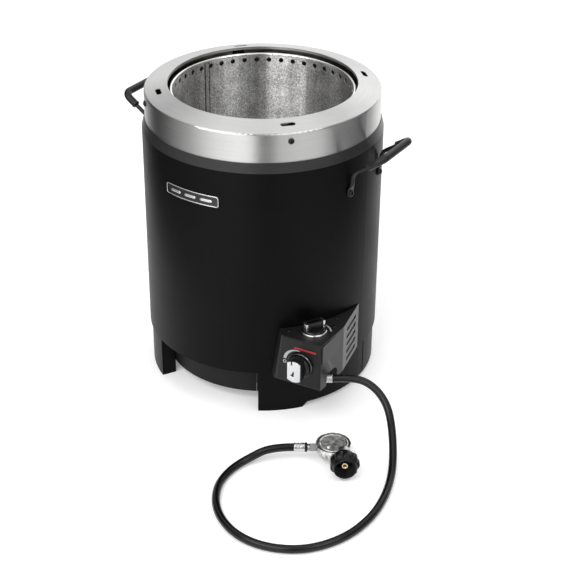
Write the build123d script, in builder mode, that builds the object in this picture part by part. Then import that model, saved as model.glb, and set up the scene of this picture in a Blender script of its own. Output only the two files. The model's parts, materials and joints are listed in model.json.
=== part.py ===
from build123d import *
import os
from math import asin, atan2, cos, degrees, radians, sin, sqrt, tan

# A free-standing propane roasting drum. Millimetres, +Z up, origin on the floor on the drum's
# axis, the badge at the front (-Y), the two carrying handles on the X axis.

os.makedirs("parts", exist_ok=True)

# ---- Driving dimensions -------------------------------------------------------------------
SHELL_R = 203.0          # outer radius of the painted shell
SHEET = 1.2              # painted steel sheet
SHELL_Z0, SHELL_Z1 = 80.0, 452.0
COLLAR_Z1 = 468.0        # top edge of the tapered collar
GAP = 0.1                # assembly gap between nested sheet parts

RING_R = 197.4           # outer radius of the stainless top ring
RING_MOUTH_R = 157.9     # its round mouth
RING_EDGE_Z, RING_TOP_Z = 517.5, 525.8
RING_SHEET = 1.0
SLOT_RADIUS, SLOT_LENGTH, SLOT_WIDTH = 174.7, 24.0, 8.5
QUARTERS = (45.7, 135.7, 225.7, 315.7)
RING_SCREW_Z = 503.5

CHAMBER_R = 149.7        # inner radius of the cooking chamber
CHAMBER_SHEET = 1.0
CHAMBER_FLOOR_Z, CHAMBER_TOP_Z = 140.0, 513.5
RIM_BEAD = 2.9           # radius of the rolled rim
VENT_HOLES, VENT_D, VENT_Z = 44, 8.5, 504.5
DRAIN_R = 14.0
JACKET_R, JACKET_SHEET = 186.0, 0.8
JACKET_Z0, JACKET_Z1 = 142.0, 500.0

BASE_R, BASE_SHEET, BASE_TOP_Z = 199.6, 1.5, 92.0
LEG_A0, LEG_A1 = 30.5, 52.6          # a leg's span, degrees from the front or back axis
LEG_INNER_R = 174.0
RELIEF_Z = 9.0           # height of the relief between two legs
PAN_R, PAN_Z0, PAN_TOP_Z = 172.0, 22.0, 86.0

TRAY_HALF, TRAY_FRONT_HALF = 77.0, 84.0
TRAY_Z0, TRAY_Z1, TRAY_BACK_Y = 30.0, 52.0, 60.0
TRAY_FRONT_Z1 = 61.0

BURNER_R, BURNER_TUBE_R, BURNER_Z = 105.0, 14.0, 108.0
BURNER_H = 26.0          # height of the pressed-steel ring
VENTURI_ANGLE, VENTURI_R = -38.4, 10.0

BOX_Z0, BOX_Z1 = 80.0, 168.0
BOX_FRONT_LEFT_TOP, BOX_FRONT_LEFT_LOW = (146.0, -170.0), (134.0, -171.0)
BOX_SHELL_LEFT_TOP, BOX_SHELL_LEFT_LOW = (132.0, -154.0), (122.0, -162.0)
BOX_FRONT_RIGHT, BOX_BEND, BOX_SHELL_RIGHT = (219.0, -164.0), (220.0, -93.0), (202.6, -10.4)

KNOB_Z, KNOB_X = 122.0, 182.5        # centre of the gas knob on the front panel
KNOB_R, KNOB_BAR, KNOB_REACH = 20.0, 24.0, 27.0
KNOB_TRAVEL = 3.0                    # push-in before the plug turns
IGNITER_AT, IGNITER_YAW = (185.0, -131.0), 61.0
IGNITER_REACH = 20.0
BOX_SCREWS = ((150.0, -152.0), (206.0, -100.0), (196.0, -75.0))

HANDLE_HALF, HANDLE_OUT, HANDLE_Z = 48.0, 253.5, 463.0
ROD_R, GRIP_R = 3.5, 6.5
ROD_BEND_Z, ROD_X, EYE_Z = 428.0, 202.2, 392.0
EYE_ANGLE = degrees(asin(HANDLE_HALF / SHELL_R))

HOSE_R = 6.6
HOSE_EXIT = (227.0, -132.0, 90.0)
EXIT_YAW = 30.0
REG_AT, REG_YAW, REG_Z = (277.7, -218.8), 33.0, 25.0
REG_R, REG_Z0, REG_SEAM_Z, REG_TOP_Z = 28.8, 8.5, 26.5, 32.9
HOSE_END_Z = 23.5
NUT_R, NUT_LENGTH, NUT_OFFSET = 24.3, 31.0, 16.0
NUT_BACK = 31.0          # the nut's back face, out from the regulator's centre

# Centre line of the free hose: out of the control box, down to the floor, round and back
# up to the regulator's ferrule.
HOSE_ROUTE = [
    HOSE_EXIT,
    (257, -114.7, 90),
    (291, -110, 80),
    (320, -118, 60),
    (343, -143, 38),
    (364, -178, 20),
    (381, -216, 8),
    (397, -267, 6.65),
    (404, -324, 6.65),
    (395, -386, 6.65),
    (361, -442, 6.65),
    (306, -470, 6.65),
    (248, -469, 6.65),
    (195, -438, 6.65),
    (163, -389, 6.65),
    (157, -341, 6.65),
    (168, -302, 9.5),
    (192.5, -274.1, 23.5),
    (224.6, -253.3, 23.5),
]


def save(builder, name):
    """Label a finished sub-part and write it to its own file."""
    builder.part.label = name
    export_step(builder.part, f"parts/{name}.step")


def polar(radius, angle, z=0.0):
    """A point at a radius and an angle in degrees about the drum's axis."""
    return (radius * cos(radians(angle)), radius * sin(radians(angle)), z)


def radial_plane(angle, radius, z):
    """A plane that faces outward at an angle about the drum's axis, its y axis up."""
    outward = polar(1, angle)
    return Plane(origin=polar(radius, angle, z), x_dir=(-outward[1], outward[0], 0), z_dir=outward)


def tube(name, outer, sheet, z0, z1):
    """A plain round shell about the drum's axis."""
    with BuildPart() as shell:
        with BuildSketch(Plane.XY.offset(z0)):
            Circle(outer)
            Circle(outer - sheet, mode=Mode.SUBTRACT)
        extrude(amount=z1 - z0)
    shell.part.label = name
    return shell


def sector(r0, r1, a0, a1):
    """A face between two radii and two angles."""
    with BuildSketch() as face:
        with BuildLine():
            outer = CenterArc((0, 0), r1, a0, a1 - a0)
            inner = CenterArc((0, 0), r0, a0, a1 - a0)
            Line(outer @ 0, inner @ 0)
            Line(outer @ 1, inner @ 1)
        make_face()
    return face.sketch


# ---- Control box frame --------------------------------------------------------------------
front_dx = BOX_FRONT_RIGHT[0] - BOX_FRONT_LEFT_TOP[0]
front_dy = BOX_FRONT_RIGHT[1] - BOX_FRONT_LEFT_TOP[1]
front_yaw = degrees(atan2(front_dy, front_dx))
front_across = (cos(radians(front_yaw)), sin(radians(front_yaw)), 0)
front_normal = (front_across[1], -front_across[0], 0)
knob_y = BOX_FRONT_LEFT_TOP[1] + (KNOB_X - BOX_FRONT_LEFT_TOP[0]) * tan(radians(front_yaw))
knob_plane = Plane(origin=(KNOB_X, knob_y, KNOB_Z), x_dir=front_across, z_dir=front_normal)
igniter_plane = Plane(
    origin=(*IGNITER_AT, BOX_Z1),
    x_dir=(cos(radians(IGNITER_YAW)), sin(radians(IGNITER_YAW)), 0),
    z_dir=(0, 0, 1),
)
print("knob axis point", (KNOB_X, round(knob_y, 3), KNOB_Z), "normal", front_normal)


# ---- Shell, collar and top ring -----------------------------------------------------------
def make_outer_shell():
    """Rolled black shell with a window behind the control box and holes for the handles."""
    with BuildPart() as shell:
        with BuildSketch(Plane.XY.offset(SHELL_Z0)):
            Circle(SHELL_R)
            Circle(SHELL_R - SHEET, mode=Mode.SUBTRACT)
        extrude(amount=SHELL_Z1 - SHELL_Z0)
        with BuildSketch(radial_plane(-35, SHELL_R - 20, 114)):
            RectangleRounded(66, 52, 6)
        extrude(amount=40, mode=Mode.SUBTRACT)
        for angle in (EYE_ANGLE, -EYE_ANGLE, 180 - EYE_ANGLE, 180 + EYE_ANGLE):
            with BuildSketch(radial_plane(angle, SHELL_R - 10, EYE_Z)):
                Circle(2.6)
            extrude(amount=20, mode=Mode.SUBTRACT)
    save(shell, "outer_shell")


def make_shell_collar():
    """Tapered collar that closes the shell against the stainless skirt."""
    inside = RING_R + 0.15
    with BuildPart() as collar:
        with BuildSketch(Plane.XZ):
            with BuildLine():
                Polyline(
                    (SHELL_R, SHELL_Z1 + 0.05),
                    (inside + 1.1, COLLAR_Z1),
                    (inside, COLLAR_Z1),
                    (inside, COLLAR_Z1 - 1.2),
                    (SHELL_R - 2.5, SHELL_Z1 + 4),
                    (SHELL_R - 2.5, SHELL_Z1 - 12),
                    (SHELL_R - SHEET - GAP, SHELL_Z1 - 12),
                    (SHELL_R - SHEET - GAP, SHELL_Z1 + 0.05),
                    close=True,
                )
            make_face()
        revolve(axis=Axis.Z)
    save(collar, "shell_collar")


def make_top_ring():
    """Stainless ring: skirt, conical top with four slots, and a short flange in its mouth."""
    t = RING_SHEET
    skirt_z = SHELL_Z1 - 6
    with BuildPart() as ring:
        with BuildSketch(Plane.XZ):
            with BuildLine():
                Polyline(
                    (RING_R, skirt_z),
                    (RING_R, RING_EDGE_Z),
                    (RING_MOUTH_R, RING_TOP_Z),
                    (RING_MOUTH_R, RING_TOP_Z - 4.5),
                    (RING_MOUTH_R + t, RING_TOP_Z - 4.5),
                    (RING_MOUTH_R + t, RING_TOP_Z - 1.25 * t),
                    (RING_R - t, RING_EDGE_Z - 0.82 * t),
                    (RING_R - t, skirt_z),
                    close=True,
                )
            make_face()
            edge = vertices().filter_by_position(Axis.X, RING_R - 2, RING_R + 1)
            edge = edge.filter_by_position(Axis.Y, RING_EDGE_Z - 3, RING_EDGE_Z + 1)
            fillet(edge, 3.5)
        revolve(axis=Axis.Z)
        with BuildSketch(Plane.XY.offset(RING_EDGE_Z - 8)):
            for angle in QUARTERS:
                with Locations(Location(polar(SLOT_RADIUS, angle), (0, 0, angle + 90))):
                    SlotOverall(SLOT_LENGTH, SLOT_WIDTH)
        extrude(amount=30, mode=Mode.SUBTRACT)
        for angle in QUARTERS:
            with BuildSketch(radial_plane(angle, RING_R - 10, RING_SCREW_Z)):
                Circle(2.2)
            extrude(amount=20, mode=Mode.SUBTRACT)
    save(ring, "top_ring")


def make_ring_brackets():
    """Four angle brackets that join the ring's skirt to the jacket."""
    wall, reach = RING_R - RING_SHEET - 0.8, RING_R - RING_SHEET - JACKET_R - 0.8
    with BuildPart() as brackets:
        for angle in QUARTERS:
            with BuildSketch(radial_plane(angle, wall - 1.5, RING_SCREW_Z)):
                Rectangle(20, 16)
                Circle(2.2, mode=Mode.SUBTRACT)
            extrude(amount=1.5)
            with BuildSketch(radial_plane(angle, wall - reach, RING_SCREW_Z - 8.75)):
                Rectangle(20, 1.5)
            extrude(amount=reach)
            with BuildSketch(radial_plane(angle, wall - reach, RING_SCREW_Z - 15)):
                Rectangle(20, 14)
            extrude(amount=1.5)
    save(brackets, "ring_brackets")


def button_screw(plane, head_r, head_h, shank_r, shank_length):
    """A domed screw head on a plane with its shank behind it."""
    with BuildSketch(plane) as rim:
        Circle(head_r)
    extrude(rim.sketch, amount=head_h * 0.45)
    with BuildSketch(plane.offset(head_h * 0.45)) as dome:
        Circle(head_r)
    extrude(dome.sketch, amount=head_h * 0.55, taper=40)
    with BuildSketch(plane) as shank:
        Circle(shank_r)
    extrude(shank.sketch, amount=-shank_length)


def make_top_ring_screws():
    """Four button screws through the ring's skirt."""
    with BuildPart() as screws:
        for angle in QUARTERS:
            plane = radial_plane(angle, RING_R + 0.02, RING_SCREW_Z)
            button_screw(plane, 5.0, 3.2, 2.0, 9.0)
    save(screws, "top_ring_screws")


# ---- Chamber and jacket -------------------------------------------------------------------
def make_cooking_chamber():
    """Stainless inner drum: rolled rim, one row of round vents, floor with a drain."""
    outer = CHAMBER_R + CHAMBER_SHEET
    with BuildPart() as chamber:
        with BuildSketch(Plane.XY.offset(CHAMBER_FLOOR_Z - CHAMBER_SHEET)):
            Circle(outer)
        extrude(amount=CHAMBER_TOP_Z - CHAMBER_FLOOR_Z + CHAMBER_SHEET)
        with BuildSketch(Plane.XY.offset(CHAMBER_FLOOR_Z)):
            Circle(CHAMBER_R)
        extrude(amount=CHAMBER_TOP_Z, mode=Mode.SUBTRACT)
        with BuildSketch(Plane.XZ):
            with Locations((CHAMBER_R + RIM_BEAD, CHAMBER_TOP_Z)):
                Circle(RIM_BEAD)
        revolve(axis=Axis.Z)
        with BuildSketch(Plane.XY.offset(CHAMBER_FLOOR_Z - 10)):
            Circle(DRAIN_R)
        extrude(amount=20, mode=Mode.SUBTRACT)
        with Locations((0, 0, VENT_Z)):
            with PolarLocations(CHAMBER_R, VENT_HOLES, start_angle=180 / VENT_HOLES):
                Cylinder(VENT_D / 2, 8, rotation=(0, 90, 0), mode=Mode.SUBTRACT)
    save(chamber, "cooking_chamber")


def make_drain_funnel():
    """Cone under the floor that leads drippings past the burner to the tray."""
    top, low = CHAMBER_FLOOR_Z - CHAMBER_SHEET - GAP, TRAY_Z1 + 8
    with BuildPart() as funnel:
        with BuildSketch(Plane.XZ):
            with BuildLine():
                Polyline(
                    (DRAIN_R + 10, top),
                    (DRAIN_R + 10, top - 1.2),
                    (DRAIN_R + 1.2, top - 12),
                    (DRAIN_R + 1.2, low),
                    (DRAIN_R, low),
                    (DRAIN_R, top),
                    close=True,
                )
            make_face()
        revolve(axis=Axis.Z)
    save(funnel, "drain_funnel")


def make_heat_jacket():
    """Plain liner between the chamber and the shell."""
    save(tube("heat_jacket", JACKET_R, JACKET_SHEET, JACKET_Z0, JACKET_Z1), "heat_jacket")


def z_brackets(name, r_in, r_out, heights, first_angle):
    """Rows of four Z-shaped spacers between two round walls."""
    width = 20
    r_far = sqrt(r_out**2 - (width / 2) ** 2) - 0.05
    with BuildPart() as brackets:
        for z in heights:
            for angle in range(first_angle, first_angle + 360, 90):
                with BuildSketch(radial_plane(angle, r_in + 0.02, z + 8.25)):
                    Rectangle(width, 18)
                extrude(amount=1.5)
                with BuildSketch(radial_plane(angle, r_in + 0.02, z)):
                    Rectangle(width, 1.5)
                extrude(amount=r_far - r_in - 0.02)
                with BuildSketch(radial_plane(angle, r_far - 1.5, z - 8.25)):
                    Rectangle(width, 18)
                extrude(amount=1.5)
    save(brackets, name)


# ---- Base, legs, pan and tray -------------------------------------------------------------
def make_base_ring():
    """Skirt tucked inside the shell, open at the front and relieved between its four legs."""
    side_half = BASE_R * sin(radians(90 - LEG_A1))
    end_half = BASE_R * sin(radians(LEG_A0))
    with BuildPart() as base:
        with BuildSketch():
            Circle(BASE_R)
            Circle(BASE_R - BASE_SHEET, mode=Mode.SUBTRACT)
        extrude(amount=BASE_TOP_Z)
        for plane, half in ((Plane.YZ, side_half), (Plane.XZ, end_half)):
            with BuildSketch(plane):
                Polygon(
                    (-half, -1), (half, -1), (half - 8, RELIEF_Z), (8 - half, RELIEF_Z), align=None
                )
            extrude(amount=-BASE_R - 5, both=plane == Plane.YZ, mode=Mode.SUBTRACT)
        with BuildSketch(Plane.XZ):
            with Locations((0, 41)):
                Rectangle(2 * end_half, 84)
        extrude(amount=BASE_R + 5, mode=Mode.SUBTRACT)
    save(base, "base_ring")


def make_leg_boxes():
    """Four folded leg boxes inside the base ring, each closed by a foot plate."""
    outer_r, t = BASE_R - BASE_SHEET - GAP, 1.5
    inset = degrees(t / LEG_INNER_R)
    starts = (270 + LEG_A0, 90 - LEG_A1, 90 + LEG_A0, 270 - LEG_A1)
    span = LEG_A1 - LEG_A0
    with BuildPart() as legs:
        for start in starts:
            with BuildSketch():
                add(sector(LEG_INNER_R, outer_r, start, start + span))
            extrude(amount=SHELL_Z0)
            with BuildSketch(Plane.XY.offset(t)):
                add(sector(LEG_INNER_R + t, outer_r - t, start + inset, start + span - inset))
            extrude(amount=SHELL_Z0, mode=Mode.SUBTRACT)
    save(legs, "leg_boxes")


def make_bottom_pan():
    """Recessed drum under the burner: heat shield on top, gap for the tray, four straps."""
    with BuildPart() as pan:
        with BuildSketch(Plane.XZ):
            with BuildLine():
                Polyline(
                    (PAN_R, PAN_Z0),
                    (PAN_R, PAN_TOP_Z),
                    (DRAIN_R + 4, PAN_TOP_Z),
                    (DRAIN_R + 4, PAN_TOP_Z - SHEET),
                    (PAN_R - SHEET, PAN_TOP_Z - SHEET),
                    (PAN_R - SHEET, PAN_Z0 + SHEET),
                    (PAN_R - 8, PAN_Z0 + SHEET),
                    (PAN_R - 8, PAN_Z0),
                    close=True,
                )
            make_face()
        revolve(axis=Axis.Z)
        with BuildSketch(Plane.XZ):
            with Locations((0, (PAN_Z0 + TRAY_FRONT_Z1) / 2)):
                Rectangle(2 * TRAY_FRONT_HALF + 1.0, TRAY_FRONT_Z1 - PAN_Z0 + 1.0)
        extrude(amount=PAN_R + 5, mode=Mode.SUBTRACT)
        for angle in (270 + 41.5, 48.5, 90 + 41.5, 270 - 41.5):
            with BuildSketch(radial_plane(angle, PAN_R - 0.6, 72)):
                Rectangle(16, 10)
            extrude(amount=LEG_INNER_R - PAN_R + 0.4)
    save(pan, "bottom_pan")


def make_tray_rails():
    """Two angle rails under the heat shield that carry the tray's flanges."""
    web_x, foot = TRAY_HALF + 4.5, 6.0
    with BuildPart() as rails:
        for side in (-1, 1):
            with BuildSketch(Plane.XZ.offset(135)):
                with BuildLine():
                    Polyline(
                        (side * web_x, PAN_TOP_Z - SHEET - 0.05),
                        (side * web_x, TRAY_Z1 - 3.5),
                        (side * (web_x - foot + 2.5), TRAY_Z1 - 3.5),
                        (side * (web_x - foot + 2.5), TRAY_Z1 - 2.3),
                        (side * (web_x - 1.2), TRAY_Z1 - 2.3),
                        (side * (web_x - 1.2), PAN_TOP_Z - SHEET - 0.05),
                        close=True,
                    )
                make_face()
            extrude(amount=-215)
    save(rails, "tray_rails")


def make_grease_tray():
    """Open tray whose front wall follows the pan's curve, with a flange on each side."""
    length = 260
    centre_y = TRAY_BACK_Y - length / 2
    with BuildPart() as tray:
        with BuildSketch(Plane.XY.offset(TRAY_Z0)):
            with Locations((0, centre_y)):
                Rectangle(2 * TRAY_HALF, length)
            Circle(PAN_R - 1.8, mode=Mode.INTERSECT)
        extrude(amount=TRAY_Z1 - TRAY_Z0)
        with BuildSketch(Plane.XY.offset(TRAY_Z0 + 1)):
            with Locations((0, centre_y + 1)):
                Rectangle(2 * TRAY_HALF - 2, length - 4)
            Circle(PAN_R - 2.8, mode=Mode.INTERSECT)
        extrude(amount=TRAY_Z1, mode=Mode.SUBTRACT)
        with BuildSketch(Plane.XY.offset(TRAY_Z1 - 2.0)):
            for side in (-1, 1):
                with Locations((side * (TRAY_HALF + 1.2), -40)):
                    Rectangle(2.6, 190)
        extrude(amount=1.2)
    save(tray, "grease_tray")


def make_tray_front():
    """Curved front of the tray, flush with the pan, with a finger lip rolled inward."""
    half = degrees(asin(TRAY_FRONT_HALF / PAN_R))
    with BuildPart() as front:
        with BuildSketch(Plane.XY.offset(PAN_Z0)):
            add(sector(PAN_R - 1.5, PAN_R, -90 - half, -90 + half))
        extrude(amount=TRAY_FRONT_Z1 - PAN_Z0)
        with BuildSketch(Plane.XY.offset(PAN_Z0)):
            add(sector(PAN_R - 10, PAN_R - 1, -90 - half + 3, -90 + half - 3))
        extrude(amount=1.5)
    save(front, "tray_front")


# ---- Burner and gas path ------------------------------------------------------------------
def make_burner_ring():
    """Hollow ring burner with two rows of ports on its upper side."""
    with BuildPart() as burner:
        with BuildSketch(Plane.XZ):
            with Locations((BURNER_R, BURNER_Z)):
                RectangleRounded(2 * BURNER_TUBE_R, BURNER_H, 8)
                RectangleRounded(2 * BURNER_TUBE_R - 3, BURNER_H - 3, 6.5, mode=Mode.SUBTRACT)
        revolve(axis=Axis.Z)
        with BuildSketch(Plane.XY.offset(BURNER_Z + 5)):
            for radius in (BURNER_R - 4, BURNER_R + 4):
                with PolarLocations(radius, 24):
                    Circle(1.6)
        extrude(amount=20, mode=Mode.SUBTRACT)
    save(burner, "burner_ring")


def make_burner_supports():
    """Four saddles that stand the burner on the heat shield."""
    with BuildPart() as supports:
        for angle in range(15, 375, 90):
            base = polar(BURNER_R, angle, PAN_TOP_Z + 0.05)
            with BuildSketch(Plane(origin=base, x_dir=polar(1, angle), z_dir=(0, 0, 1))):
                Rectangle(24, 10)
            extrude(amount=12)
        with BuildSketch(Plane.XZ):
            with Locations((BURNER_R, BURNER_Z)):
                RectangleRounded(2 * BURNER_TUBE_R + 0.1, BURNER_H + 0.1, 8.05)
        revolve(axis=Axis.Z, mode=Mode.SUBTRACT)
    save(supports, "burner_supports")


def make_venturi_tube():
    """Mixing tube from the orifice to the burner, with an air shutter at its mouth."""
    start = BURNER_R + BURNER_TUBE_R + 0.2
    with BuildPart() as venturi:
        plane = radial_plane(VENTURI_ANGLE, start, BURNER_Z)
        with BuildSketch(plane):
            Circle(VENTURI_R)
        extrude(amount=190 - start)
        with BuildSketch(radial_plane(VENTURI_ANGLE, 174, BURNER_Z)):
            Circle(VENTURI_R + 2.5)
        extrude(amount=22)
        with BuildSketch(plane):
            Circle(VENTURI_R - 1.2)
        extrude(amount=100, mode=Mode.SUBTRACT)
        with BuildSketch(radial_plane(VENTURI_ANGLE, 182, BURNER_Z)):
            RectangleRounded(40, 9, 3)
        extrude(amount=8, mode=Mode.SUBTRACT)
    save(venturi, "venturi_tube")


def make_gas_valve():
    """Valve body behind the front panel, bored for its plug, with an outlet to the burner."""
    with BuildPart() as valve:
        with BuildSketch(knob_plane.offset(-5)):
            RectangleRounded(30, 36, 5)
        extrude(amount=-33)
        with BuildSketch(radial_plane(VENTURI_ANGLE, 208, BURNER_Z)):
            Circle(6)
        extrude(amount=10)
        with BuildSketch(knob_plane.offset(-5)):
            Circle(7.05)
        extrude(amount=-29, mode=Mode.SUBTRACT)
    save(valve, "gas_valve")


def make_gas_orifice():
    """Brass hexagon with the metering jet, on the valve's outlet."""
    with BuildPart() as orifice:
        with BuildSketch(radial_plane(VENTURI_ANGLE, 199, BURNER_Z)):
            RegularPolygon(6, 6)
            Circle(0.8, mode=Mode.SUBTRACT)
        extrude(amount=8.95)
    save(orifice, "gas_orifice")


def make_valve_plug():
    """Tapered-type plug that the stem turns inside the valve."""
    with BuildPart() as plug:
        with BuildSketch(knob_plane.offset(-7)):
            Circle(7.0)
        extrude(amount=-26.8)
        with BuildSketch(knob_plane.offset(-7)):
            Circle(4.05)
            with Locations((0, 4.85)):
                Rectangle(10, 4, mode=Mode.SUBTRACT)
        extrude(amount=-23, mode=Mode.SUBTRACT)
    save(plug, "valve_plug")


def make_valve_stem():
    """Stem with a flat, which turns the plug and slides in it when the knob is pushed."""
    with BuildPart() as stem:
        with BuildSketch(knob_plane.offset(10)):
            Circle(4.0)
            with Locations((0, 4.8)):
                Rectangle(10, 4, mode=Mode.SUBTRACT)
        extrude(amount=-36)
    save(stem, "valve_stem")


def make_hose_inlet():
    """Elbow from the valve's underside to the hose barb, in line with the hose."""
    away = (cos(radians(EXIT_YAW)), sin(radians(EXIT_YAW)), 0)
    back = 40.0
    corner = tuple(p - back * d for p, d in zip(HOSE_EXIT, away))
    with BuildPart() as inlet:
        with BuildSketch(Plane.XY.offset(HOSE_EXIT[2] - 7)):
            with Locations(corner[:2]):
                Circle(7)
        extrude(amount=KNOB_Z - 18.1 - HOSE_EXIT[2] + 7)
        with BuildSketch(Plane(origin=corner, z_dir=away)):
            Circle(5.5)
        extrude(amount=back - 16.05)
    save(inlet, "hose_inlet")


def make_hose_ferrule():
    """Crimped ferrule at the box end of the hose."""
    away = (cos(radians(EXIT_YAW)), sin(radians(EXIT_YAW)), 0)
    start = tuple(p - 16.0 * d for p, d in zip(HOSE_EXIT, away))
    with BuildPart() as ferrule:
        with BuildSketch(Plane(origin=start, z_dir=away)):
            Circle(7.0)
        extrude(amount=15.95)
        chamfer(ferrule.edges().filter_by(GeomType.CIRCLE), 0.7)
    save(ferrule, "hose_ferrule")


# ---- Control box --------------------------------------------------------------------------
def extended(a, b, ratio):
    """The point past b on the line from a to b."""
    return (b[0] + (b[0] - a[0]) * ratio, b[1] + (b[1] - a[1]) * ratio)


def box_outline(front_left, shell_left):
    """Plan of the box at one height, closed inside the shell."""
    return [
        extended(front_left, shell_left, 0.8),
        front_left,
        BOX_FRONT_RIGHT,
        BOX_BEND,
        extended(BOX_BEND, BOX_SHELL_RIGHT, 0.2),
    ]


def loft_box(low, top, z0, z1, inward):
    """A block between two plans, drawn in by a sheet's thickness."""
    sections = []
    for outline, z in ((low, z0), (top, z1)):
        with BuildSketch(Plane.XY.offset(z)) as section:
            Polygon(*outline, align=None)
            if inward:
                offset(amount=-inward, kind=Kind.INTERSECTION)
        sections.append(section.sketch)
    loft(sections, ruled=True)


def make_box_shell():
    """The whole folded box: top and sides, open below and against the drum."""
    low = box_outline(BOX_FRONT_LEFT_LOW, BOX_SHELL_LEFT_LOW)
    top = box_outline(BOX_FRONT_LEFT_TOP, BOX_SHELL_LEFT_TOP)
    with BuildPart() as hollow:
        loft_box(low, top, BOX_Z0 - 2, BOX_Z1 - SHEET, SHEET)
    with BuildPart() as box:
        loft_box(low, top, BOX_Z0, BOX_Z1, 0)
        add(hollow.part, mode=Mode.SUBTRACT)
        with BuildSketch(Plane.XY.offset(BOX_Z0 - 5)):
            Circle(SHELL_R + 0.05)
        extrude(amount=BOX_Z1, mode=Mode.SUBTRACT)
        with BuildSketch(knob_plane.offset(5)):
            Circle(12)
        extrude(amount=-10, mode=Mode.SUBTRACT)
        with BuildSketch(Plane.XY.offset(BOX_Z1 - 5)):
            with Locations(IGNITER_AT):
                Circle(8.2)
            with Locations(*BOX_SCREWS):
                Circle(1.6)
        extrude(amount=10, mode=Mode.SUBTRACT)
        with BuildSketch(Plane.YZ.offset(BOX_FRONT_RIGHT[0] - 8)):
            with Locations((-127.5, BOX_Z0 + 7)):
                Rectangle(35, 16)
            with Locations((-127.5, BOX_Z0 + 13)):
                Ellipse(17.5, 10)
        extrude(amount=16, mode=Mode.SUBTRACT)
    return box.part


def louver_region(length):
    """The slab of space that holds the right rear wall of the box."""
    dx, dy = BOX_SHELL_RIGHT[0] - BOX_BEND[0], BOX_SHELL_RIGHT[1] - BOX_BEND[1]
    run = sqrt(dx * dx + dy * dy)
    along = (dx / run, dy / run)
    centre = (
        BOX_BEND[0] + along[0] * (length / 2 + 2),
        BOX_BEND[1] + along[1] * (length / 2 + 2),
        BOX_Z0 - 1,
    )
    height = BOX_Z1 - SHEET - 0.1 - BOX_Z0 + 1
    with BuildPart() as region:
        with BuildSketch(Plane(origin=centre, x_dir=(*along, 0), z_dir=(0, 0, 1))):
            Rectangle(length, 6)
        extrude(amount=height)
    return region.part


def make_box_and_louvers():
    """Split the box into its main folding and the slotted panel at the right rear."""
    whole = make_box_shell()
    with BuildPart() as box:
        add(whole)
        add(louver_region(110), mode=Mode.SUBTRACT)
    save(box, "control_box")
    dx, dy = BOX_SHELL_RIGHT[0] - BOX_BEND[0], BOX_SHELL_RIGHT[1] - BOX_BEND[1]
    run = sqrt(dx * dx + dy * dy)
    outward = (dy / run, -dx / run, 0)
    middle = (BOX_BEND[0] + dx * 0.52, BOX_BEND[1] + dy * 0.52, 122.0)
    face = Plane(origin=middle, x_dir=(dx / run, dy / run, 0), z_dir=outward)
    with BuildPart() as panel:
        add(whole)
        add(louver_region(109.6), mode=Mode.INTERSECT)
        with BuildSketch(face.offset(-6)):
            with GridLocations(0, 14.8, 1, 5):
                SlotOverall(50, 7.4)
        extrude(amount=12, mode=Mode.SUBTRACT)
    save(panel, "louver_panel")


def front_offset(depth):
    """The front panel's own plane, at its centre, moved out by a depth."""
    return Plane(origin=knob_plane.origin, x_dir=front_across, z_dir=front_normal).offset(depth)


def make_front_fascia():
    """Thin overlay on the front of the box, with the knob's hole."""
    with BuildPart() as fascia:
        with BuildSketch(front_offset(0.05)):
            with BuildLine():
                Polyline((-44, -40), (34.5, -40), (35.5, 44.5), (-34.5, 44.5), close=True)
            make_face()
            fillet(vertices(), 3)
            Circle(12, mode=Mode.SUBTRACT)
        extrude(amount=0.8)
    save(fascia, "front_fascia")


def make_fascia_marks():
    """Printed marks: a tapering arc and a ring by each knob, and a plain bar."""
    with BuildPart() as marks:
        with BuildSketch(front_offset(0.87)):
            with BuildLine():
                outer = ThreePointArc((-32, 4), (-24, 19.5), (-2, 25.6))
                inner = ThreePointArc((-27, 4), (-20.5, 16.5), (-2, 24))
                Line(outer @ 0, inner @ 0)
                Line(outer @ 1, inner @ 1)
            make_face()
            with Locations((-29.5, -2)):
                Circle(3.2)
                Circle(1.8, mode=Mode.SUBTRACT)
        extrude(amount=0.25)
        with BuildSketch(Plane.XY.offset(BOX_Z1 + 0.02)):
            with BuildLine():
                sweep_out = CenterArc(IGNITER_AT, 29.5, 32, 44)
                sweep_in = CenterArc(IGNITER_AT, 27.2, 32, 44)
                Line(sweep_out @ 0, sweep_in @ 0)
                Line(sweep_out @ 1, sweep_in @ 1)
            make_face()
        extrude(amount=0.25)
    save(marks, "fascia_marks")
    with BuildPart() as bar:
        with BuildSketch(front_offset(0.87)):
            with Locations((8, 29.3)):
                RectangleRounded(40, 3.6, 1)
        extrude(amount=0.25)
    save(bar, "fascia_bar")


def make_box_screws():
    """Three screws that hold the box to the shell's flange and close its lid."""
    with BuildPart() as screws:
        for x, y in BOX_SCREWS:
            button_screw(Plane(origin=(x, y, BOX_Z1 + 0.02)), 3.2, 2.0, 1.5, 6.0)
    save(screws, "box_screws")


def make_knob_bezel():
    """Round trim ring on the front panel."""
    with BuildPart() as bezel:
        with BuildSketch(front_offset(0.9)):
            Circle(23)
            Circle(9, mode=Mode.SUBTRACT)
        extrude(amount=2.4)
        with BuildSketch(front_offset(3.3)):
            Circle(23)
            Circle(20.6, mode=Mode.SUBTRACT)
        extrude(amount=3)
        chamfer(bezel.faces().sort_by(Axis(origin=(0, 0, 0), direction=front_normal))[-1].edges(), 0.8)
    save(bezel, "knob_bezel")


def knob_profile(radius, bar):
    """A bar cut out of a round knob."""
    Circle(radius)
    Rectangle(bar, 3 * radius, mode=Mode.INTERSECT)


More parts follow.
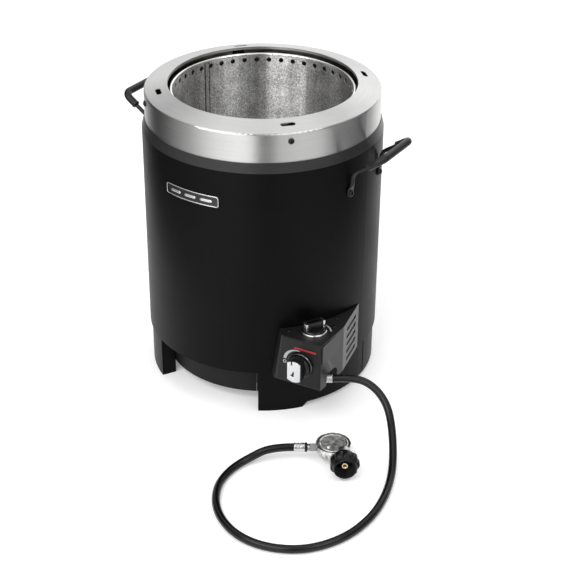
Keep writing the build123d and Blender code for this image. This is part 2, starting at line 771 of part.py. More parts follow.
def make_control_knob():
    """Black gas knob: round skirt and a broad grip, bored for the stem."""
    back = 3.3 + KNOB_TRAVEL + 0.5
    with BuildPart() as knob:
        with BuildSketch(front_offset(back)):
            Circle(KNOB_R)
        extrude(amount=5)
        with BuildSketch(front_offset(back + 5)):
            knob_profile(KNOB_R, KNOB_BAR)
        extrude(amount=KNOB_REACH - back - 5 - 2)
        with BuildSketch(front_offset(back)):
            Circle(4.05)
            with Locations((0, 4.8)):
                Rectangle(10, 4, mode=Mode.SUBTRACT)
        extrude(amount=10.1 - back, mode=Mode.SUBTRACT)
    save(knob, "control_knob")


def make_knob_face():
    """Bright cap on the front of the grip, with a pointer notch at its top."""
    with BuildPart() as cap:
        with BuildSketch(front_offset(KNOB_REACH - 1.98)):
            knob_profile(KNOB_R, KNOB_BAR)
            with Locations((-4, KNOB_R - 4)):
                SlotOverall(9, 2.2, rotation=90, mode=Mode.SUBTRACT)
        extrude(amount=2)
    save(cap, "knob_face")


def make_igniter():
    """Rotary igniter: body under the lid, shaft, bezel, knob and two bright end caps."""
    with BuildPart() as body:
        with BuildSketch(igniter_plane.offset(-SHEET - 0.05)):
            Circle(12)
        extrude(amount=-23)
        with BuildSketch(igniter_plane.offset(-SHEET)):
            Circle(5.05)
        extrude(amount=-15, mode=Mode.SUBTRACT)
    save(body, "igniter_body")
    with BuildPart() as shaft:
        with BuildSketch(igniter_plane.offset(8)):
            Circle(5.0)
        extrude(amount=-22)
    save(shaft, "igniter_shaft")
    with BuildPart() as bezel:
        with BuildSketch(igniter_plane.offset(0.05)):
            Circle(22)
            Circle(8.2, mode=Mode.SUBTRACT)
        extrude(amount=2)
        with BuildSketch(igniter_plane.offset(2.05)):
            Circle(22)
            Circle(19.6, mode=Mode.SUBTRACT)
        extrude(amount=2.5)
        chamfer(bezel.faces().sort_by(Axis.Z)[-1].edges(), 0.8)
    save(bezel, "igniter_bezel")
    with BuildPart() as knob:
        with BuildSketch(igniter_plane.offset(2.5)):
            Circle(19)
        extrude(amount=4)
        with BuildSketch(igniter_plane.offset(6.5)):
            Rectangle(28, 13)
        extrude(amount=IGNITER_REACH - 6.5)
        with BuildSketch(igniter_plane.offset(2.5)):
            Circle(5.05)
        extrude(amount=5.6, mode=Mode.SUBTRACT)
    save(knob, "igniter_knob")
    with BuildPart() as caps:
        with BuildSketch(igniter_plane.offset(6.55)):
            for side in (-1, 1):
                with Locations((side * 16.55, 0)):
                    Rectangle(5, 13)
            Circle(19, mode=Mode.INTERSECT)
        extrude(amount=IGNITER_REACH - 6.55)
    save(caps, "igniter_caps")


def make_ignition():
    """Spark electrode by the burner, its tip, its bracket and the lead from the igniter."""
    angle = -30
    foot = BURNER_R + BURNER_TUBE_R + 8
    with BuildPart() as ceramic:
        with BuildSketch(Plane(origin=polar(foot, angle, 98))):
            Circle(3.5)
        extrude(amount=26)
    save(ceramic, "spark_electrode")
    with BuildPart() as tip:
        with BuildSketch(Plane(origin=polar(foot, angle, 124.05))):
            Circle(1.0)
        extrude(amount=4)
        with BuildSketch(radial_plane(angle, foot + 1, 128)):
            Circle(1.0)
        extrude(amount=-16)
    save(tip, "electrode_tip")
    with BuildPart() as bracket:
        with BuildSketch(Plane(origin=polar(foot, angle, 92), x_dir=polar(1, angle))):
            Rectangle(14, 12)
        extrude(amount=1.5)
        with BuildSketch(Plane(origin=polar(foot + 6.2, angle, PAN_TOP_Z + 0.05), x_dir=polar(1, angle))):
            Rectangle(1.5, 12)
        extrude(amount=30)
        with BuildSketch(Plane(origin=polar(foot + 2, angle, 112), x_dir=polar(1, angle))):
            Rectangle(9.5, 12)
        extrude(amount=1.5)
        with BuildSketch(Plane(origin=polar(foot, angle, 90))):
            Circle(3.55)
        extrude(amount=40, mode=Mode.SUBTRACT)
        with BuildSketch(radial_plane(angle, foot, 102)):
            Circle(1.8)
        extrude(amount=20, mode=Mode.SUBTRACT)
    save(bracket, "electrode_bracket")
    plug_y = IGNITER_AT[1] + 12.1
    drop = polar(214.5, angle, 150)
    route = [
        (IGNITER_AT[0], plug_y, 150),
        (IGNITER_AT[0] + 0.5, drop[1], 150),
        (drop[0], drop[1], 102),
        polar(foot + 3.6, angle, 102),
    ]
    with BuildPart() as lead:
        with BuildLine():
            path = FilletPolyline(*route, radius=[4.0, 10.0])
        with BuildSketch(Plane(origin=path @ 0, z_dir=path % 0)):
            Circle(1.2)
        sweep()
    save(lead, "ignition_lead")


# ---- Handles and badge --------------------------------------------------------------------
def handle_path(start, end_z):
    """Corner points of a handle from one side round to the other."""
    return [
        (start, -HANDLE_HALF, end_z),
        (HANDLE_OUT, -HANDLE_HALF, HANDLE_Z),
        (HANDLE_OUT, HANDLE_HALF, HANDLE_Z),
        (start, HANDLE_HALF, end_z),
    ]


def make_handle():
    """Bent rod with a flattened eye at each end."""
    feet = [(ROD_X, side * HANDLE_HALF, EYE_Z + 7) for side in (-1, 1)]
    corners = handle_path(ROD_X, ROD_BEND_Z)
    with BuildPart() as rod:
        with BuildLine():
            path = FilletPolyline(feet[0], *corners, feet[1], radius=[18, 13, 13, 18])
        with BuildSketch(Plane(origin=path @ 0, z_dir=path % 0)):
            Circle(ROD_R)
        sweep()
        for side in (-1, 1):
            face = radial_plane(side * EYE_ANGLE, SHELL_R + 0.4, EYE_Z)
            with BuildSketch(face):
                with Locations((0, 3)):
                    SlotOverall(26, 14, rotation=90)
            extrude(amount=3)
            with BuildSketch(face.offset(-5)):
                Circle(2.6)
            extrude(amount=15, mode=Mode.SUBTRACT)
        with BuildSketch(Plane.XY.offset(EYE_Z - 20)):
            Circle(SHELL_R + 0.3)
        extrude(amount=60, mode=Mode.SUBTRACT)
    return rod.part


def make_grip():
    """Black sleeve over the handle's crossbar and corners."""
    start_x = 229.0
    slope = (HANDLE_Z - ROD_BEND_Z) / (HANDLE_OUT - ROD_X)
    start_z = ROD_BEND_Z + slope * (start_x - ROD_X)
    with BuildPart() as grip:
        with BuildLine():
            path = FilletPolyline(*handle_path(start_x, start_z), radius=[13, 13])
        with BuildSketch(Plane(origin=path @ 0, z_dir=path % 0)):
            Circle(GRIP_R)
            Circle(ROD_R + 0.05, mode=Mode.SUBTRACT)
        sweep()
    return grip.part


def make_handles():
    """Both handles, mirror images of each other, with their grips and screws."""
    for name, source in (("handle", make_handle()), ("grip", make_grip())):
        with BuildPart() as right:
            add(source)
        save(right, f"{name}_right")
        with BuildPart() as left:
            add(source.mirror(Plane.YZ))
        save(left, f"{name}_left")
    with BuildPart() as screws:
        for angle in (EYE_ANGLE, -EYE_ANGLE, 180 - EYE_ANGLE, 180 + EYE_ANGLE):
            button_screw(radial_plane(angle, SHELL_R + 3.45, EYE_Z), 5.2, 3.0, 2.5, 9.0)
    save(screws, "handle_screws")
    with BuildPart() as nuts:
        for angle in (EYE_ANGLE, -EYE_ANGLE, 180 - EYE_ANGLE, 180 + EYE_ANGLE):
            with BuildSketch(radial_plane(angle, SHELL_R - SHEET - 4.3, EYE_Z)):
                RegularPolygon(4.6, 6)
                Circle(2.55, mode=Mode.SUBTRACT)
            extrude(amount=4)
    save(nuts, "handle_nuts")


def badge_solid(width, height, corner, r0, r1):
    """A rounded plate bent round the shell at the badge's place."""
    with BuildPart() as plate:
        with BuildSketch(Plane.XY.offset(380)):
            Circle(r1)
            Circle(r0, mode=Mode.SUBTRACT)
        extrude(amount=40)
        with BuildSketch(radial_plane(-92, 150, 396.5)):
            RectangleRounded(width, height, corner)
        extrude(amount=80, mode=Mode.INTERSECT)
    return plate.part


def make_badge():
    """Blank badge: a bright plate with a dark inlay."""
    with BuildPart() as plate:
        add(badge_solid(104, 19, 5, SHELL_R + 0.05, SHELL_R + 1.2))
    save(plate, "badge_plate")
    with BuildPart() as inlay:
        add(badge_solid(100, 15, 3.5, SHELL_R + 1.25, SHELL_R + 1.6))
    save(inlay, "badge_inlay")


# ---- Hose and regulator -------------------------------------------------------------------
def corner_radii(points):
    """The largest arc at each corner that its two runs allow, by the 0.45 rule."""
    radii = []
    for before, at, after in zip(points, points[1:], points[2:]):
        run_in, run_out = Vector(*at) - Vector(*before), Vector(*after) - Vector(*at)
        turn = run_in.get_angle(run_out)
        radii.append(0.45 * min(run_in.length, run_out.length) / tan(radians(turn / 2)))
    return radii


def make_gas_hose():
    """Free rubber hose, as straight runs joined by tangent arcs."""
    radii = corner_radii(HOSE_ROUTE)
    with BuildPart() as hose:
        with BuildLine():
            path = FilletPolyline(*HOSE_ROUTE, radius=radii)
        with BuildSketch(Plane(origin=path @ 0, z_dir=path % 0)):
            Circle(HOSE_R)
        sweep()
    section = 3.14159265 * HOSE_R**2
    print("hose arc radii", [round(r) for r in radii], "least", round(min(radii), 1))
    print("hose length", round(path.length, 1), "volume ratio", hose.part.volume / section / path.length)
    save(hose, "gas_hose")


reg_along = (cos(radians(REG_YAW)), sin(radians(REG_YAW)), 0)
reg_inlet = (reg_along[1], -reg_along[0], 0)


def reg_point(along, out, z):
    """A point in the regulator's own frame: along the hose's line, out towards the nut."""
    return (
        REG_AT[0] + along * reg_along[0] + out * reg_inlet[0],
        REG_AT[1] + along * reg_along[1] + out * reg_inlet[1],
        z,
    )


def reg_axis_plane(along):
    """A plane across the hose's line at the regulator."""
    return Plane(origin=reg_point(along, 0, HOSE_END_Z), z_dir=reg_along)


def nut_plane(out):
    """A plane across the coupling nut's axis."""
    return Plane(origin=reg_point(NUT_OFFSET, out, REG_Z), x_dir=(0, 0, 1), z_dir=reg_inlet)


def make_regulator_fittings():
    """Ferrule, dark band and hexagon nipple between the hose and the regulator."""
    end = -(REG_AT[0] - HOSE_ROUTE[-1][0]) * reg_along[0]
    end -= (REG_AT[1] - HOSE_ROUTE[-1][1]) * reg_along[1]
    band, hexagon = end + 17.0, end + 21.0
    with BuildPart() as ferrule:
        with BuildSketch(reg_axis_plane(end + 0.05)):
            Circle(7.3)
        extrude(amount=16.9)
        chamfer(ferrule.edges().filter_by(GeomType.CIRCLE), 0.6)
    save(ferrule, "regulator_ferrule")
    with BuildPart() as ring:
        with BuildSketch(reg_axis_plane(band)):
            Circle(7.7)
        extrude(amount=3.95)
    save(ring, "hose_band")
    with BuildPart() as nipple:
        with BuildSketch(reg_axis_plane(hexagon)):
            Circle(5.2)
        extrude(amount=4)
        with BuildSketch(reg_axis_plane(hexagon + 4)):
            RegularPolygon(7.2, 6)
        extrude(amount=-REG_R - hexagon - 4 + 1.2)
        with BuildSketch(Plane(origin=(*REG_AT, 0))):
            Circle(REG_R + 0.05)
        extrude(amount=60, mode=Mode.SUBTRACT)
    save(nipple, "regulator_nipple")


def make_regulator():
    """Die-cast body with an inlet boss, and its crimped cover with the vent."""
    with BuildPart() as body:
        with BuildSketch(Plane(origin=(*REG_AT, REG_Z0))):
            Circle(REG_R - 6)
        extrude(amount=6, taper=-38)
        with BuildSketch(Plane(origin=(*REG_AT, REG_Z0 + 6))):
            Circle(REG_R)
        extrude(amount=REG_SEAM_Z - REG_Z0 - 6)
        with BuildSketch(nut_plane(8)):
            Circle(11.5)
        extrude(amount=22.4)
        with BuildSketch(Plane(origin=(*REG_AT, REG_SEAM_Z))):
            Circle(REG_R + 20)
        extrude(amount=30, mode=Mode.SUBTRACT)
        with BuildSketch(nut_plane(REG_R - 6)):
            Circle(11.5)
        extrude(amount=36.4 - REG_R)
    save(body, "regulator_body")
    cover_z, lip = REG_SEAM_Z + 0.05, 1.5
    with BuildPart() as cover:
        with BuildSketch(Plane(origin=(*REG_AT, cover_z))):
            Circle(REG_R)
        extrude(amount=REG_TOP_Z - lip - cover_z)
        with BuildSketch(Plane(origin=(*REG_AT, REG_TOP_Z - lip))):
            Circle(REG_R - 0.8)
        extrude(amount=lip, taper=30)
        with BuildSketch(nut_plane(REG_R - 8)):
            Circle(11.6)
        extrude(amount=40, mode=Mode.SUBTRACT)
        with BuildSketch(Plane(origin=reg_point(-8, -10, REG_TOP_Z - 0.5))):
            Circle(3.4)
        extrude(amount=2.0, taper=15)
    save(cover, "regulator_cover")


def make_inlet():
    """Brass inlet with its nose and seal, and the ribbed coupling nut that turns on it."""
    back = NUT_BACK
    mouth = back + NUT_LENGTH
    with BuildPart() as nose:
        with BuildSketch(nut_plane(30.45)):
            Circle(8.5)
        extrude(amount=back + 3.7 - 30.45)
        with BuildSketch(nut_plane(back + 3.7)):
            Circle(11)
        extrude(amount=3)
        with BuildSketch(nut_plane(back + 6.7)):
            Circle(6.9)
        extrude(amount=2.1)
        with BuildSketch(nut_plane(back + 8.8)):
            Circle(6.5)
        extrude(amount=7.4)
        with BuildSketch(nut_plane(back + 16.2)):
            Circle(6.5)
        extrude(amount=5.6, taper=10)
        with BuildSketch(nut_plane(mouth)):
            Circle(1.8)
        extrude(amount=-18, mode=Mode.SUBTRACT)
    save(nose, "inlet_nose")
    with BuildPart() as seal:
        with BuildSketch(nut_plane(back + 6.75)):
            Circle(9.5)
            Circle(6.95, mode=Mode.SUBTRACT)
        extrude(amount=2)
    save(seal, "inlet_seal")
    with BuildPart() as nut:
        with BuildSketch(nut_plane(back)):
            Circle(18)
        extrude(amount=8)
        with BuildSketch(nut_plane(back + 8)):
            Circle(NUT_R - 1.6)
            with PolarLocations(NUT_R - 3.2, 9, start_angle=270):
                Rectangle(12, 11)
            Circle(NUT_R, mode=Mode.INTERSECT)
        extrude(amount=NUT_LENGTH - 15.5)
        with BuildSketch(nut_plane(mouth - 7.5)):
            Circle(18.9)
        extrude(amount=7.5)
        with BuildSketch(nut_plane(back + 3.5)):
            Circle(16.2)
        extrude(amount=NUT_LENGTH, mode=Mode.SUBTRACT)
        with BuildSketch(nut_plane(back - 1)):
            Circle(8.6)
        extrude(amount=NUT_LENGTH, mode=Mode.SUBTRACT)
    save(nut, "coupling_nut")
    print("nut axis point", nut_plane(mouth).origin, "axis", reg_inlet)


make_outer_shell()
make_shell_collar()
make_top_ring()
make_ring_brackets()
make_top_ring_screws()
make_cooking_chamber()
make_drain_funnel()
make_heat_jacket()
z_brackets("chamber_brackets", CHAMBER_R + CHAMBER_SHEET, JACKET_R - JACKET_SHEET, (170, 470), 0)
z_brackets("jacket_spacers", JACKET_R, SHELL_R - SHEET - 0.06, (170, 410), 20)
make_base_ring()
make_leg_boxes()
make_bottom_pan()
make_tray_rails()
make_grease_tray()
make_tray_front()
make_burner_ring()
make_burner_supports()
make_venturi_tube()
make_gas_valve()
make_gas_orifice()
make_valve_plug()
make_valve_stem()
make_hose_inlet()
make_hose_ferrule()
make_box_and_louvers()
make_front_fascia()
make_fascia_marks()
make_box_screws()
make_knob_bezel()
make_control_knob()
make_knob_face()
make_igniter()
make_ignition()
make_handles()
make_badge()
make_gas_hose()
make_regulator_fittings()
make_regulator()
make_inlet()
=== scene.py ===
import bpy
import bmesh
import json
from math import acos, asin, cos, degrees, pi, radians, sin, sqrt, tan
from mathutils import Matrix, Vector

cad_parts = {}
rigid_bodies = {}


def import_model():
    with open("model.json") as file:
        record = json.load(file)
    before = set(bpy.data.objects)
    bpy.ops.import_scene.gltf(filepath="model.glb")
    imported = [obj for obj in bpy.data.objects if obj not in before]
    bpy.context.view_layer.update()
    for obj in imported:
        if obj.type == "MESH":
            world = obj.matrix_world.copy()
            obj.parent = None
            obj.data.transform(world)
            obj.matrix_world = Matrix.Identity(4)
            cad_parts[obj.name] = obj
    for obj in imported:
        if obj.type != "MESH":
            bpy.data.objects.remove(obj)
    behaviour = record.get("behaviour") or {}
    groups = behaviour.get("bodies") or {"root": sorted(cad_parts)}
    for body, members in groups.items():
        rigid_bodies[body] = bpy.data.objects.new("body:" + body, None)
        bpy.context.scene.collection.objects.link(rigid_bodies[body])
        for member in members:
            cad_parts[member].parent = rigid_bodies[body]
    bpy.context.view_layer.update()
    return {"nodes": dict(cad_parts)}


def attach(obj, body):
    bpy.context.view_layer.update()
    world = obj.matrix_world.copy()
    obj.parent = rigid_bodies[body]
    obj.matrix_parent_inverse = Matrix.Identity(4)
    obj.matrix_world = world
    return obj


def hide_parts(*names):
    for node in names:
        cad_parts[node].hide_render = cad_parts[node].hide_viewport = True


# Looks for a free-standing propane roasting drum. Metres, in the CAD frame: +Z up, the drum's
# axis at the origin, the badge at -Y, the handles on the X axis.

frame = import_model()
scene = bpy.context.scene
MM = 0.001

# ---- Driving dimensions in metres, as in the CAD but for the rim bead ---------------------
SHELL_R, RING_R, BASE_R = 0.203, 0.1974, 0.1996
CHAMBER_R, CHAMBER_FLOOR_Z, CHAMBER_TOP_Z = 0.1497, 0.140, 0.5135
RIM_R, RIM_BEAD = 0.1526, 0.00295      # the bead is 0.05 mm larger, so that it covers the CAD's
RING_SCREW_Z = 0.5035
QUARTERS = (45.7, 135.7, 225.7, 315.7)  # directions of the ring's slots and screws, degrees
HANDLE_HALF, HANDLE_OUT, HANDLE_Z = 0.048, 0.2535, 0.463
ROD_X, ROD_BEND_Z, ROD_R, EYE_Z = 0.2022, 0.428, 0.0035, 0.392
EYE_ANGLE = degrees(asin(HANDLE_HALF / SHELL_R))
KNOB_AT = Vector((0.1825, -0.167, 0.122))
IGNITER_AT = Vector((0.185, -0.131, 0.168))
BOX_TOP_Z = IGNITER_AT.z + 0.00002     # just clear of the box's top face
BOX_FRONT_LEFT, BOX_FRONT_RIGHT = Vector((0.146, -0.170, 0)), Vector((0.219, -0.164, 0))
BOX_BEND, BOX_REAR = Vector((0.220, -0.093, 0)), Vector((0.2026, -0.0104, 0))
BOX_SCREWS = ((0.150, -0.152), (0.206, -0.100), (0.196, -0.075))
VIEW_TURN = radians(32.8)              # how far the camera stands round to the right


# ---- Camera -------------------------------------------------------------------------------
def add_camera():
    """A long lens from the front right, 30 degrees above the ground."""
    data = bpy.data.cameras.new("camera")
    data.lens = 88.4
    data.sensor_width = 36.0
    data.shift_x = 0.039
    data.clip_end = 60.0
    camera = bpy.data.objects.new("camera", data)
    camera.location = (1.1755, -1.824, 1.402)
    camera.rotation_euler = (radians(90 - 30.3), 0.0, VIEW_TURN)
    scene.collection.objects.link(camera)
    scene.camera = camera


add_camera()


# ---- Shader graphs ------------------------------------------------------------------------
class Nodes:
    """A node tree, wired with short calls."""

    def __init__(self, tree):
        self.tree = tree

    def put(self, socket, value):
        """Sets or links one input socket."""
        if isinstance(value, bpy.types.NodeSocket):
            self.tree.links.new(value, socket)
        elif value is not None:
            socket.default_value = value

    def math(self, operation, a, b=None, c=None):
        node = self.tree.nodes.new("ShaderNodeMath")
        node.operation = operation
        for socket, value in zip(node.inputs, (a, b, c)):
            self.put(socket, value)
        return node.outputs[0]

    def vector(self, operation, a, b=None, scale=None):
        node = self.tree.nodes.new("ShaderNodeVectorMath")
        node.operation = operation
        self.put(node.inputs[0], a)
        self.put(node.inputs[1], b)
        if scale is not None:
            self.put(node.inputs["Scale"], scale)
        return node.outputs["Value"] if operation in ("LENGTH", "DOT_PRODUCT") else node.outputs[0]

    def split(self, vector):
        node = self.tree.nodes.new("ShaderNodeSeparateXYZ")
        self.put(node.inputs[0], vector)
        return node.outputs

    def join(self, x, y, z):
        node = self.tree.nodes.new("ShaderNodeCombineXYZ")
        for socket, value in zip(node.inputs, (x, y, z)):
            self.put(socket, value)
        return node.outputs[0]

    def noise(self, vector, scale, detail=2.0, rough=0.5):
        node = self.tree.nodes.new("ShaderNodeTexNoise")
        self.put(node.inputs["Vector"], vector)
        node.inputs["Scale"].default_value = scale
        node.inputs["Detail"].default_value = detail
        node.inputs["Roughness"].default_value = rough
        return node.outputs[0]

    def spread(self, value, low, high, out_low, out_high):
        """One range of values mapped to another."""
        node = self.tree.nodes.new("ShaderNodeMapRange")
        self.put(node.inputs["Value"], value)
        for key, number in (
            ("From Min", low), ("From Max", high), ("To Min", out_low), ("To Max", out_high)
        ):
            node.inputs[key].default_value = number
        return node.outputs[0]

    def ramp(self, value, *stops):
        """A colour for each value, from (position, colour) stops."""
        node = self.tree.nodes.new("ShaderNodeValToRGB")
        self.put(node.inputs[0], value)
        elements = node.color_ramp.elements
        while len(elements) < len(stops):
            elements.new(0.5)
        for element, (position, colour) in zip(elements, stops):
            element.position = position
            element.color = (*colour, 1.0)
        return node.outputs[0]

    def blend(self, factor, a, b, how="MIX"):
        """Two colours mixed."""
        node = self.tree.nodes.new("ShaderNodeMix")
        node.data_type = "RGBA"
        node.blend_type = how
        self.put(node.inputs[0], factor)
        self.put(node.inputs[6], a)
        self.put(node.inputs[7], b)
        return node.outputs[2]


class Graph(Nodes):
    """A material whose nodes feed one Principled shader."""

    def __init__(self, name):
        self.material = bpy.data.materials.new(name)
        self.material.use_nodes = True
        super().__init__(self.material.node_tree)
        self.tree.nodes.clear()
        self.output = self.tree.nodes.new("ShaderNodeOutputMaterial")
        self.shader = self.tree.nodes.new("ShaderNodeBsdfPrincipled")
        self.tree.links.new(self.shader.outputs[0], self.output.inputs[0])
        self.place = self.tree.nodes.new("ShaderNodeTexCoord").outputs["Object"]

    def fixed(self, **values):
        """Numbers and colours that are the same all over the surface."""
        for key, value in values.items():
            self.shader.inputs[key.replace("_", " ")].default_value = value
        return self

    def into(self, socket, source):
        self.tree.links.new(source, self.shader.inputs[socket])

    def bump(self, height, strength, distance):
        node = self.tree.nodes.new("ShaderNodeBump")
        node.inputs["Strength"].default_value = strength
        node.inputs["Distance"].default_value = distance
        self.put(node.inputs["Height"], height)
        self.into("Normal", node.outputs[0])

    def round_axis(self, around, along):
        """Coordinates that stretch a texture round the drum's axis."""
        x, y, z = self.split(self.place)
        flat = self.join(x, y, 0.0)
        radius = self.vector("LENGTH", flat)
        unit = self.vector("SCALE", self.vector("NORMALIZE", flat), scale=around)
        lift = self.math("MULTIPLY", self.math("ADD", z, radius), along)
        return self.vector("ADD", unit, self.join(0.0, 0.0, lift))

    def tangent_round(self):
        node = self.tree.nodes.new("ShaderNodeTangent")
        node.direction_type = "RADIAL"
        node.axis = "Z"
        self.into("Tangent", node.outputs[0])


def grey(level, warm=0.0):
    return (level * (1 + warm), level, level * (1 - warm))


def powder_coat(name, level, rough, grain=1.0, specular=0.5):
    """Satin powder coat: orange-peel grain, faint cloudiness and a little dust in the grain."""
    g = Graph(name)
    fine = g.noise(g.place, 1100, 2.0, 0.6)
    peel = g.noise(g.place, 420, 1.0)
    cloud = g.noise(g.place, 9, 3.0)
    g.into("Base Color", g.ramp(cloud, (0.3, grey(level * 0.82)), (0.7, grey(level * 1.2))))
    speck = g.spread(fine, 0.3, 0.75, rough - 0.05, rough + 0.08)
    g.into("Roughness", g.math("ADD", speck, g.spread(cloud, 0.3, 0.7, -0.03, 0.03)))
    height = g.math("ADD", g.math("MULTIPLY", fine, 0.6), peel)
    g.bump(height, 0.28 * grain, 0.0004)
    g.fixed(Specular_IOR_Level=specular)
    return g.material


def brushed_round(name, level, rough, lines, warm=0.006):
    """Stainless sheet brushed round the drum, with long soft changes in its colour that are partly
    the steel's own tone and partly painted reflection bands.
    """
    g = Graph(name)
    hair = g.noise(g.round_axis(2.2, 1500), 1.0, 3.0, 0.65)
    streak = g.noise(g.round_axis(5.0, 260), 1.0, 2.0)
    # Long bands round the drum's axis scale the base colour between 0.9 and 1: partly the steel's own
    # tone, partly painted reflection of the softboxes.
    tone_and_reflection_bands = g.noise(g.round_axis(1.6, 3), 1.0, 2.0)
    base = g.ramp(hair, (0.25, grey(level * 0.86, warm)), (0.75, grey(level * 1.08, warm)))
    shade = g.ramp(tone_and_reflection_bands, (0.3, grey(0.90)), (0.7, grey(1.0)))
    g.into("Base Color", g.blend(1.0, base, shade, "MULTIPLY"))
    g.into("Roughness", g.math("ADD", g.spread(hair, 0.2, 0.8, rough - 0.04, rough + 0.05),
                               g.spread(streak, 0.3, 0.7, -0.03, 0.03)))
    g.bump(g.math("ADD", hair, g.math("MULTIPLY", streak, 0.5)), 0.10 * lines, 0.0003)
    g.fixed(Metallic=1.0, Anisotropic=0.9, Anisotropic_Rotation=0.25)
    g.tangent_round()
    return g.material


def mill_steel(name, level, rough, mottle=0.25, scale=330.0, rolled=0.0):
    """Unpolished stainless or zinc sheet with a crystalline mottle; rolled sheet also gets painted
    reflection bands round the drum's axis.
    """
    g = Graph(name)
    if rolled:
        g.fixed(Anisotropic=rolled, Anisotropic_Rotation=0.25)
        g.tangent_round()
    speckle = g.noise(g.place, scale, 4.0, 0.75)
    patch = g.noise(g.place, scale * 0.12, 3.0)
    mix = g.math("ADD", g.math("MULTIPLY", speckle, 0.8), g.math("MULTIPLY", patch, 0.2))
    tint = g.ramp(
        mix, (0.40, grey(level * (1 - mottle), 0.01)), (0.60, grey(level * (1 + mottle * 0.6), 0.01))
    )
    if rolled:
        # Painted reflection: bands round the drum's axis darken the base colour down to two thirds,
        # in place of the softboxes mirrored in the rolled chamber.
        band = g.noise(g.round_axis(3.6, 0.3), 1.0, 1.0)
        fine_band = g.noise(g.round_axis(26.0, 1.5), 1.0, 1.0)
        painted_reflection_bands = g.math("ADD", g.math("MULTIPLY", band, 0.82), g.math("MULTIPLY", fine_band, 0.18))
        tint = g.blend(1.0, tint, g.ramp(painted_reflection_bands, (0.40, grey(0.66)), (0.60, grey(1.0))), "MULTIPLY")
    g.into("Base Color", tint)
    g.into("Roughness", g.spread(mix, 0.3, 0.7, rough - 0.07, rough + 0.09))
    g.bump(speckle, 0.12, 0.0003)
    g.fixed(Metallic=1.0)
    return g.material


def bright_metal(name, colour, rough, wear=0.04):
    """Plated or machined metal with faint smears."""
    g = Graph(name)
    smear = g.noise(g.place, 160, 4.0, 0.65)
    dim = tuple(c * 0.88 for c in colour)
    g.into("Base Color", g.ramp(smear, (0.3, dim), (0.7, colour)))
    g.into("Roughness", g.spread(smear, 0.3, 0.75, rough - wear, rough + wear))
    g.bump(g.noise(g.place, 900, 2.0), 0.05, 0.0002)
    g.fixed(Metallic=1.0)
    return g.material


def moulded(name, level, rough, grain=1.0, specular=0.5, warm=0.0):
    """Moulded black plastic or rubber: fine texture, scuffed tone."""
    g = Graph(name)
    skin = g.noise(g.place, 1500, 2.0, 0.6)
    scuff = g.noise(g.place, 38, 4.0, 0.6)
    g.into("Base Color", g.ramp(
        scuff, (0.32, grey(level * 0.8, warm)), (0.72, grey(level * 1.25, warm))
    ))
    g.into("Roughness", g.math("ADD", g.spread(scuff, 0.3, 0.7, rough - 0.05, rough + 0.06),
                               g.spread(skin, 0.3, 0.7, -0.03, 0.03)))
    g.bump(skin, 0.22 * grain, 0.00025)
    g.fixed(Specular_IOR_Level=specular)
    return g.material


def print_ink(name, colour, rough=0.45):
    """Screen print: a slightly uneven film."""
    g = Graph(name)
    film = g.noise(g.place, 700, 3.0, 0.6)
    g.into("Base Color", g.ramp(
        film, (0.28, tuple(c * 0.78 for c in colour)), (0.6, colour)
    ))
    g.into("Roughness", g.spread(film, 0.3, 0.7, rough - 0.05, rough + 0.1))
    g.bump(film, 0.1, 0.0001)
    return g.material


def floor_paint():
    """Plain pale light table with the faintest tooth."""
    g = Graph("studio_floor")
    tooth = g.noise(g.place, 60, 3.0)
    g.into("Base Color", g.ramp(tooth, (0.3, grey(0.90)), (0.7, grey(0.93))))
    g.fixed(Roughness=0.85, Specular_IOR_Level=0.2, Emission_Strength=0.22)
    g.fixed(Emission_Color=(1.0, 1.0, 1.0, 1.0))
    return g.material


SHELL = powder_coat("shell_powder_coat", 0.0022, 0.39, 1.0, 0.08)
BOX = powder_coat("box_powder_coat", 0.009, 0.38, 1.1, 0.34)
LOUVRE = powder_coat("louver_powder_coat", 0.034, 0.42, 1.1, 0.75)
FASCIA = powder_coat("fascia_film", 0.007, 0.36, 0.5, 0.25)
PAN = powder_coat("pan_paint", 0.006, 0.55, 1.0, 0.2)
COLLAR = powder_coat("collar_paint", 0.017, 0.36, 0.8, 0.36)
HANDLE = powder_coat("handle_coat", 0.007, 0.36, 0.7, 0.3)
# The ring's brushed steel, with long bands round the axis that are partly painted reflection.
TOP = brushed_round("top_brushed_stainless", 0.52, 0.32, 1.0)
# The chamber's steel, with painted reflection bands round its axis.
CHAMBER = mill_steel("chamber_stainless", 0.75, 0.42, 0.55, 380.0, 1.0)
RIM = bright_metal("rolled_rim", (0.78, 0.76, 0.74), 0.16)
SEAM_DARK = powder_coat("seam_line", 0.001, 0.6, 1.0, 0.02)
# Dark steel that paints the shadow lines along the chamber's lap seam.
SEAM_SHADOW_STEEL = mill_steel("seam_shadow", 0.10, 0.5, 0.2)
PLAIN = mill_steel("plain_steel", 0.42, 0.42, 0.25)
BURNER = mill_steel("burner_steel", 0.34, 0.45, 0.3)
CHROME = bright_metal("chrome", (0.82, 0.82, 0.83), 0.12)
DARK_CHROME = bright_metal("dark_chrome", (0.10, 0.10, 0.103), 0.16)
SATIN_CHROME = bright_metal("satin_chrome", (0.70, 0.70, 0.71), 0.25)
CRIMP = bright_metal("zinc_plate", (0.62, 0.62, 0.62), 0.24, 0.08)
NIPPLE = bright_metal("nipple_plate", (0.27, 0.27, 0.28), 0.20, 0.08)
ZINC = mill_steel("die_cast_zinc", 0.50, 0.32, 0.55, 190.0)
COVER = mill_steel("cover_zinc", 0.68, 0.34, 0.6, 150.0)
BRASS = bright_metal("brass", (0.60, 0.47, 0.30), 0.24)
BLACK_STEEL = bright_metal("black_oxide", (0.035, 0.035, 0.037), 0.36)
KNOB = moulded("knob_plastic", 0.006, 0.28, 0.8, 0.3)
NUT = moulded("nut_plastic", 0.004, 0.34, 1.2, 0.22)
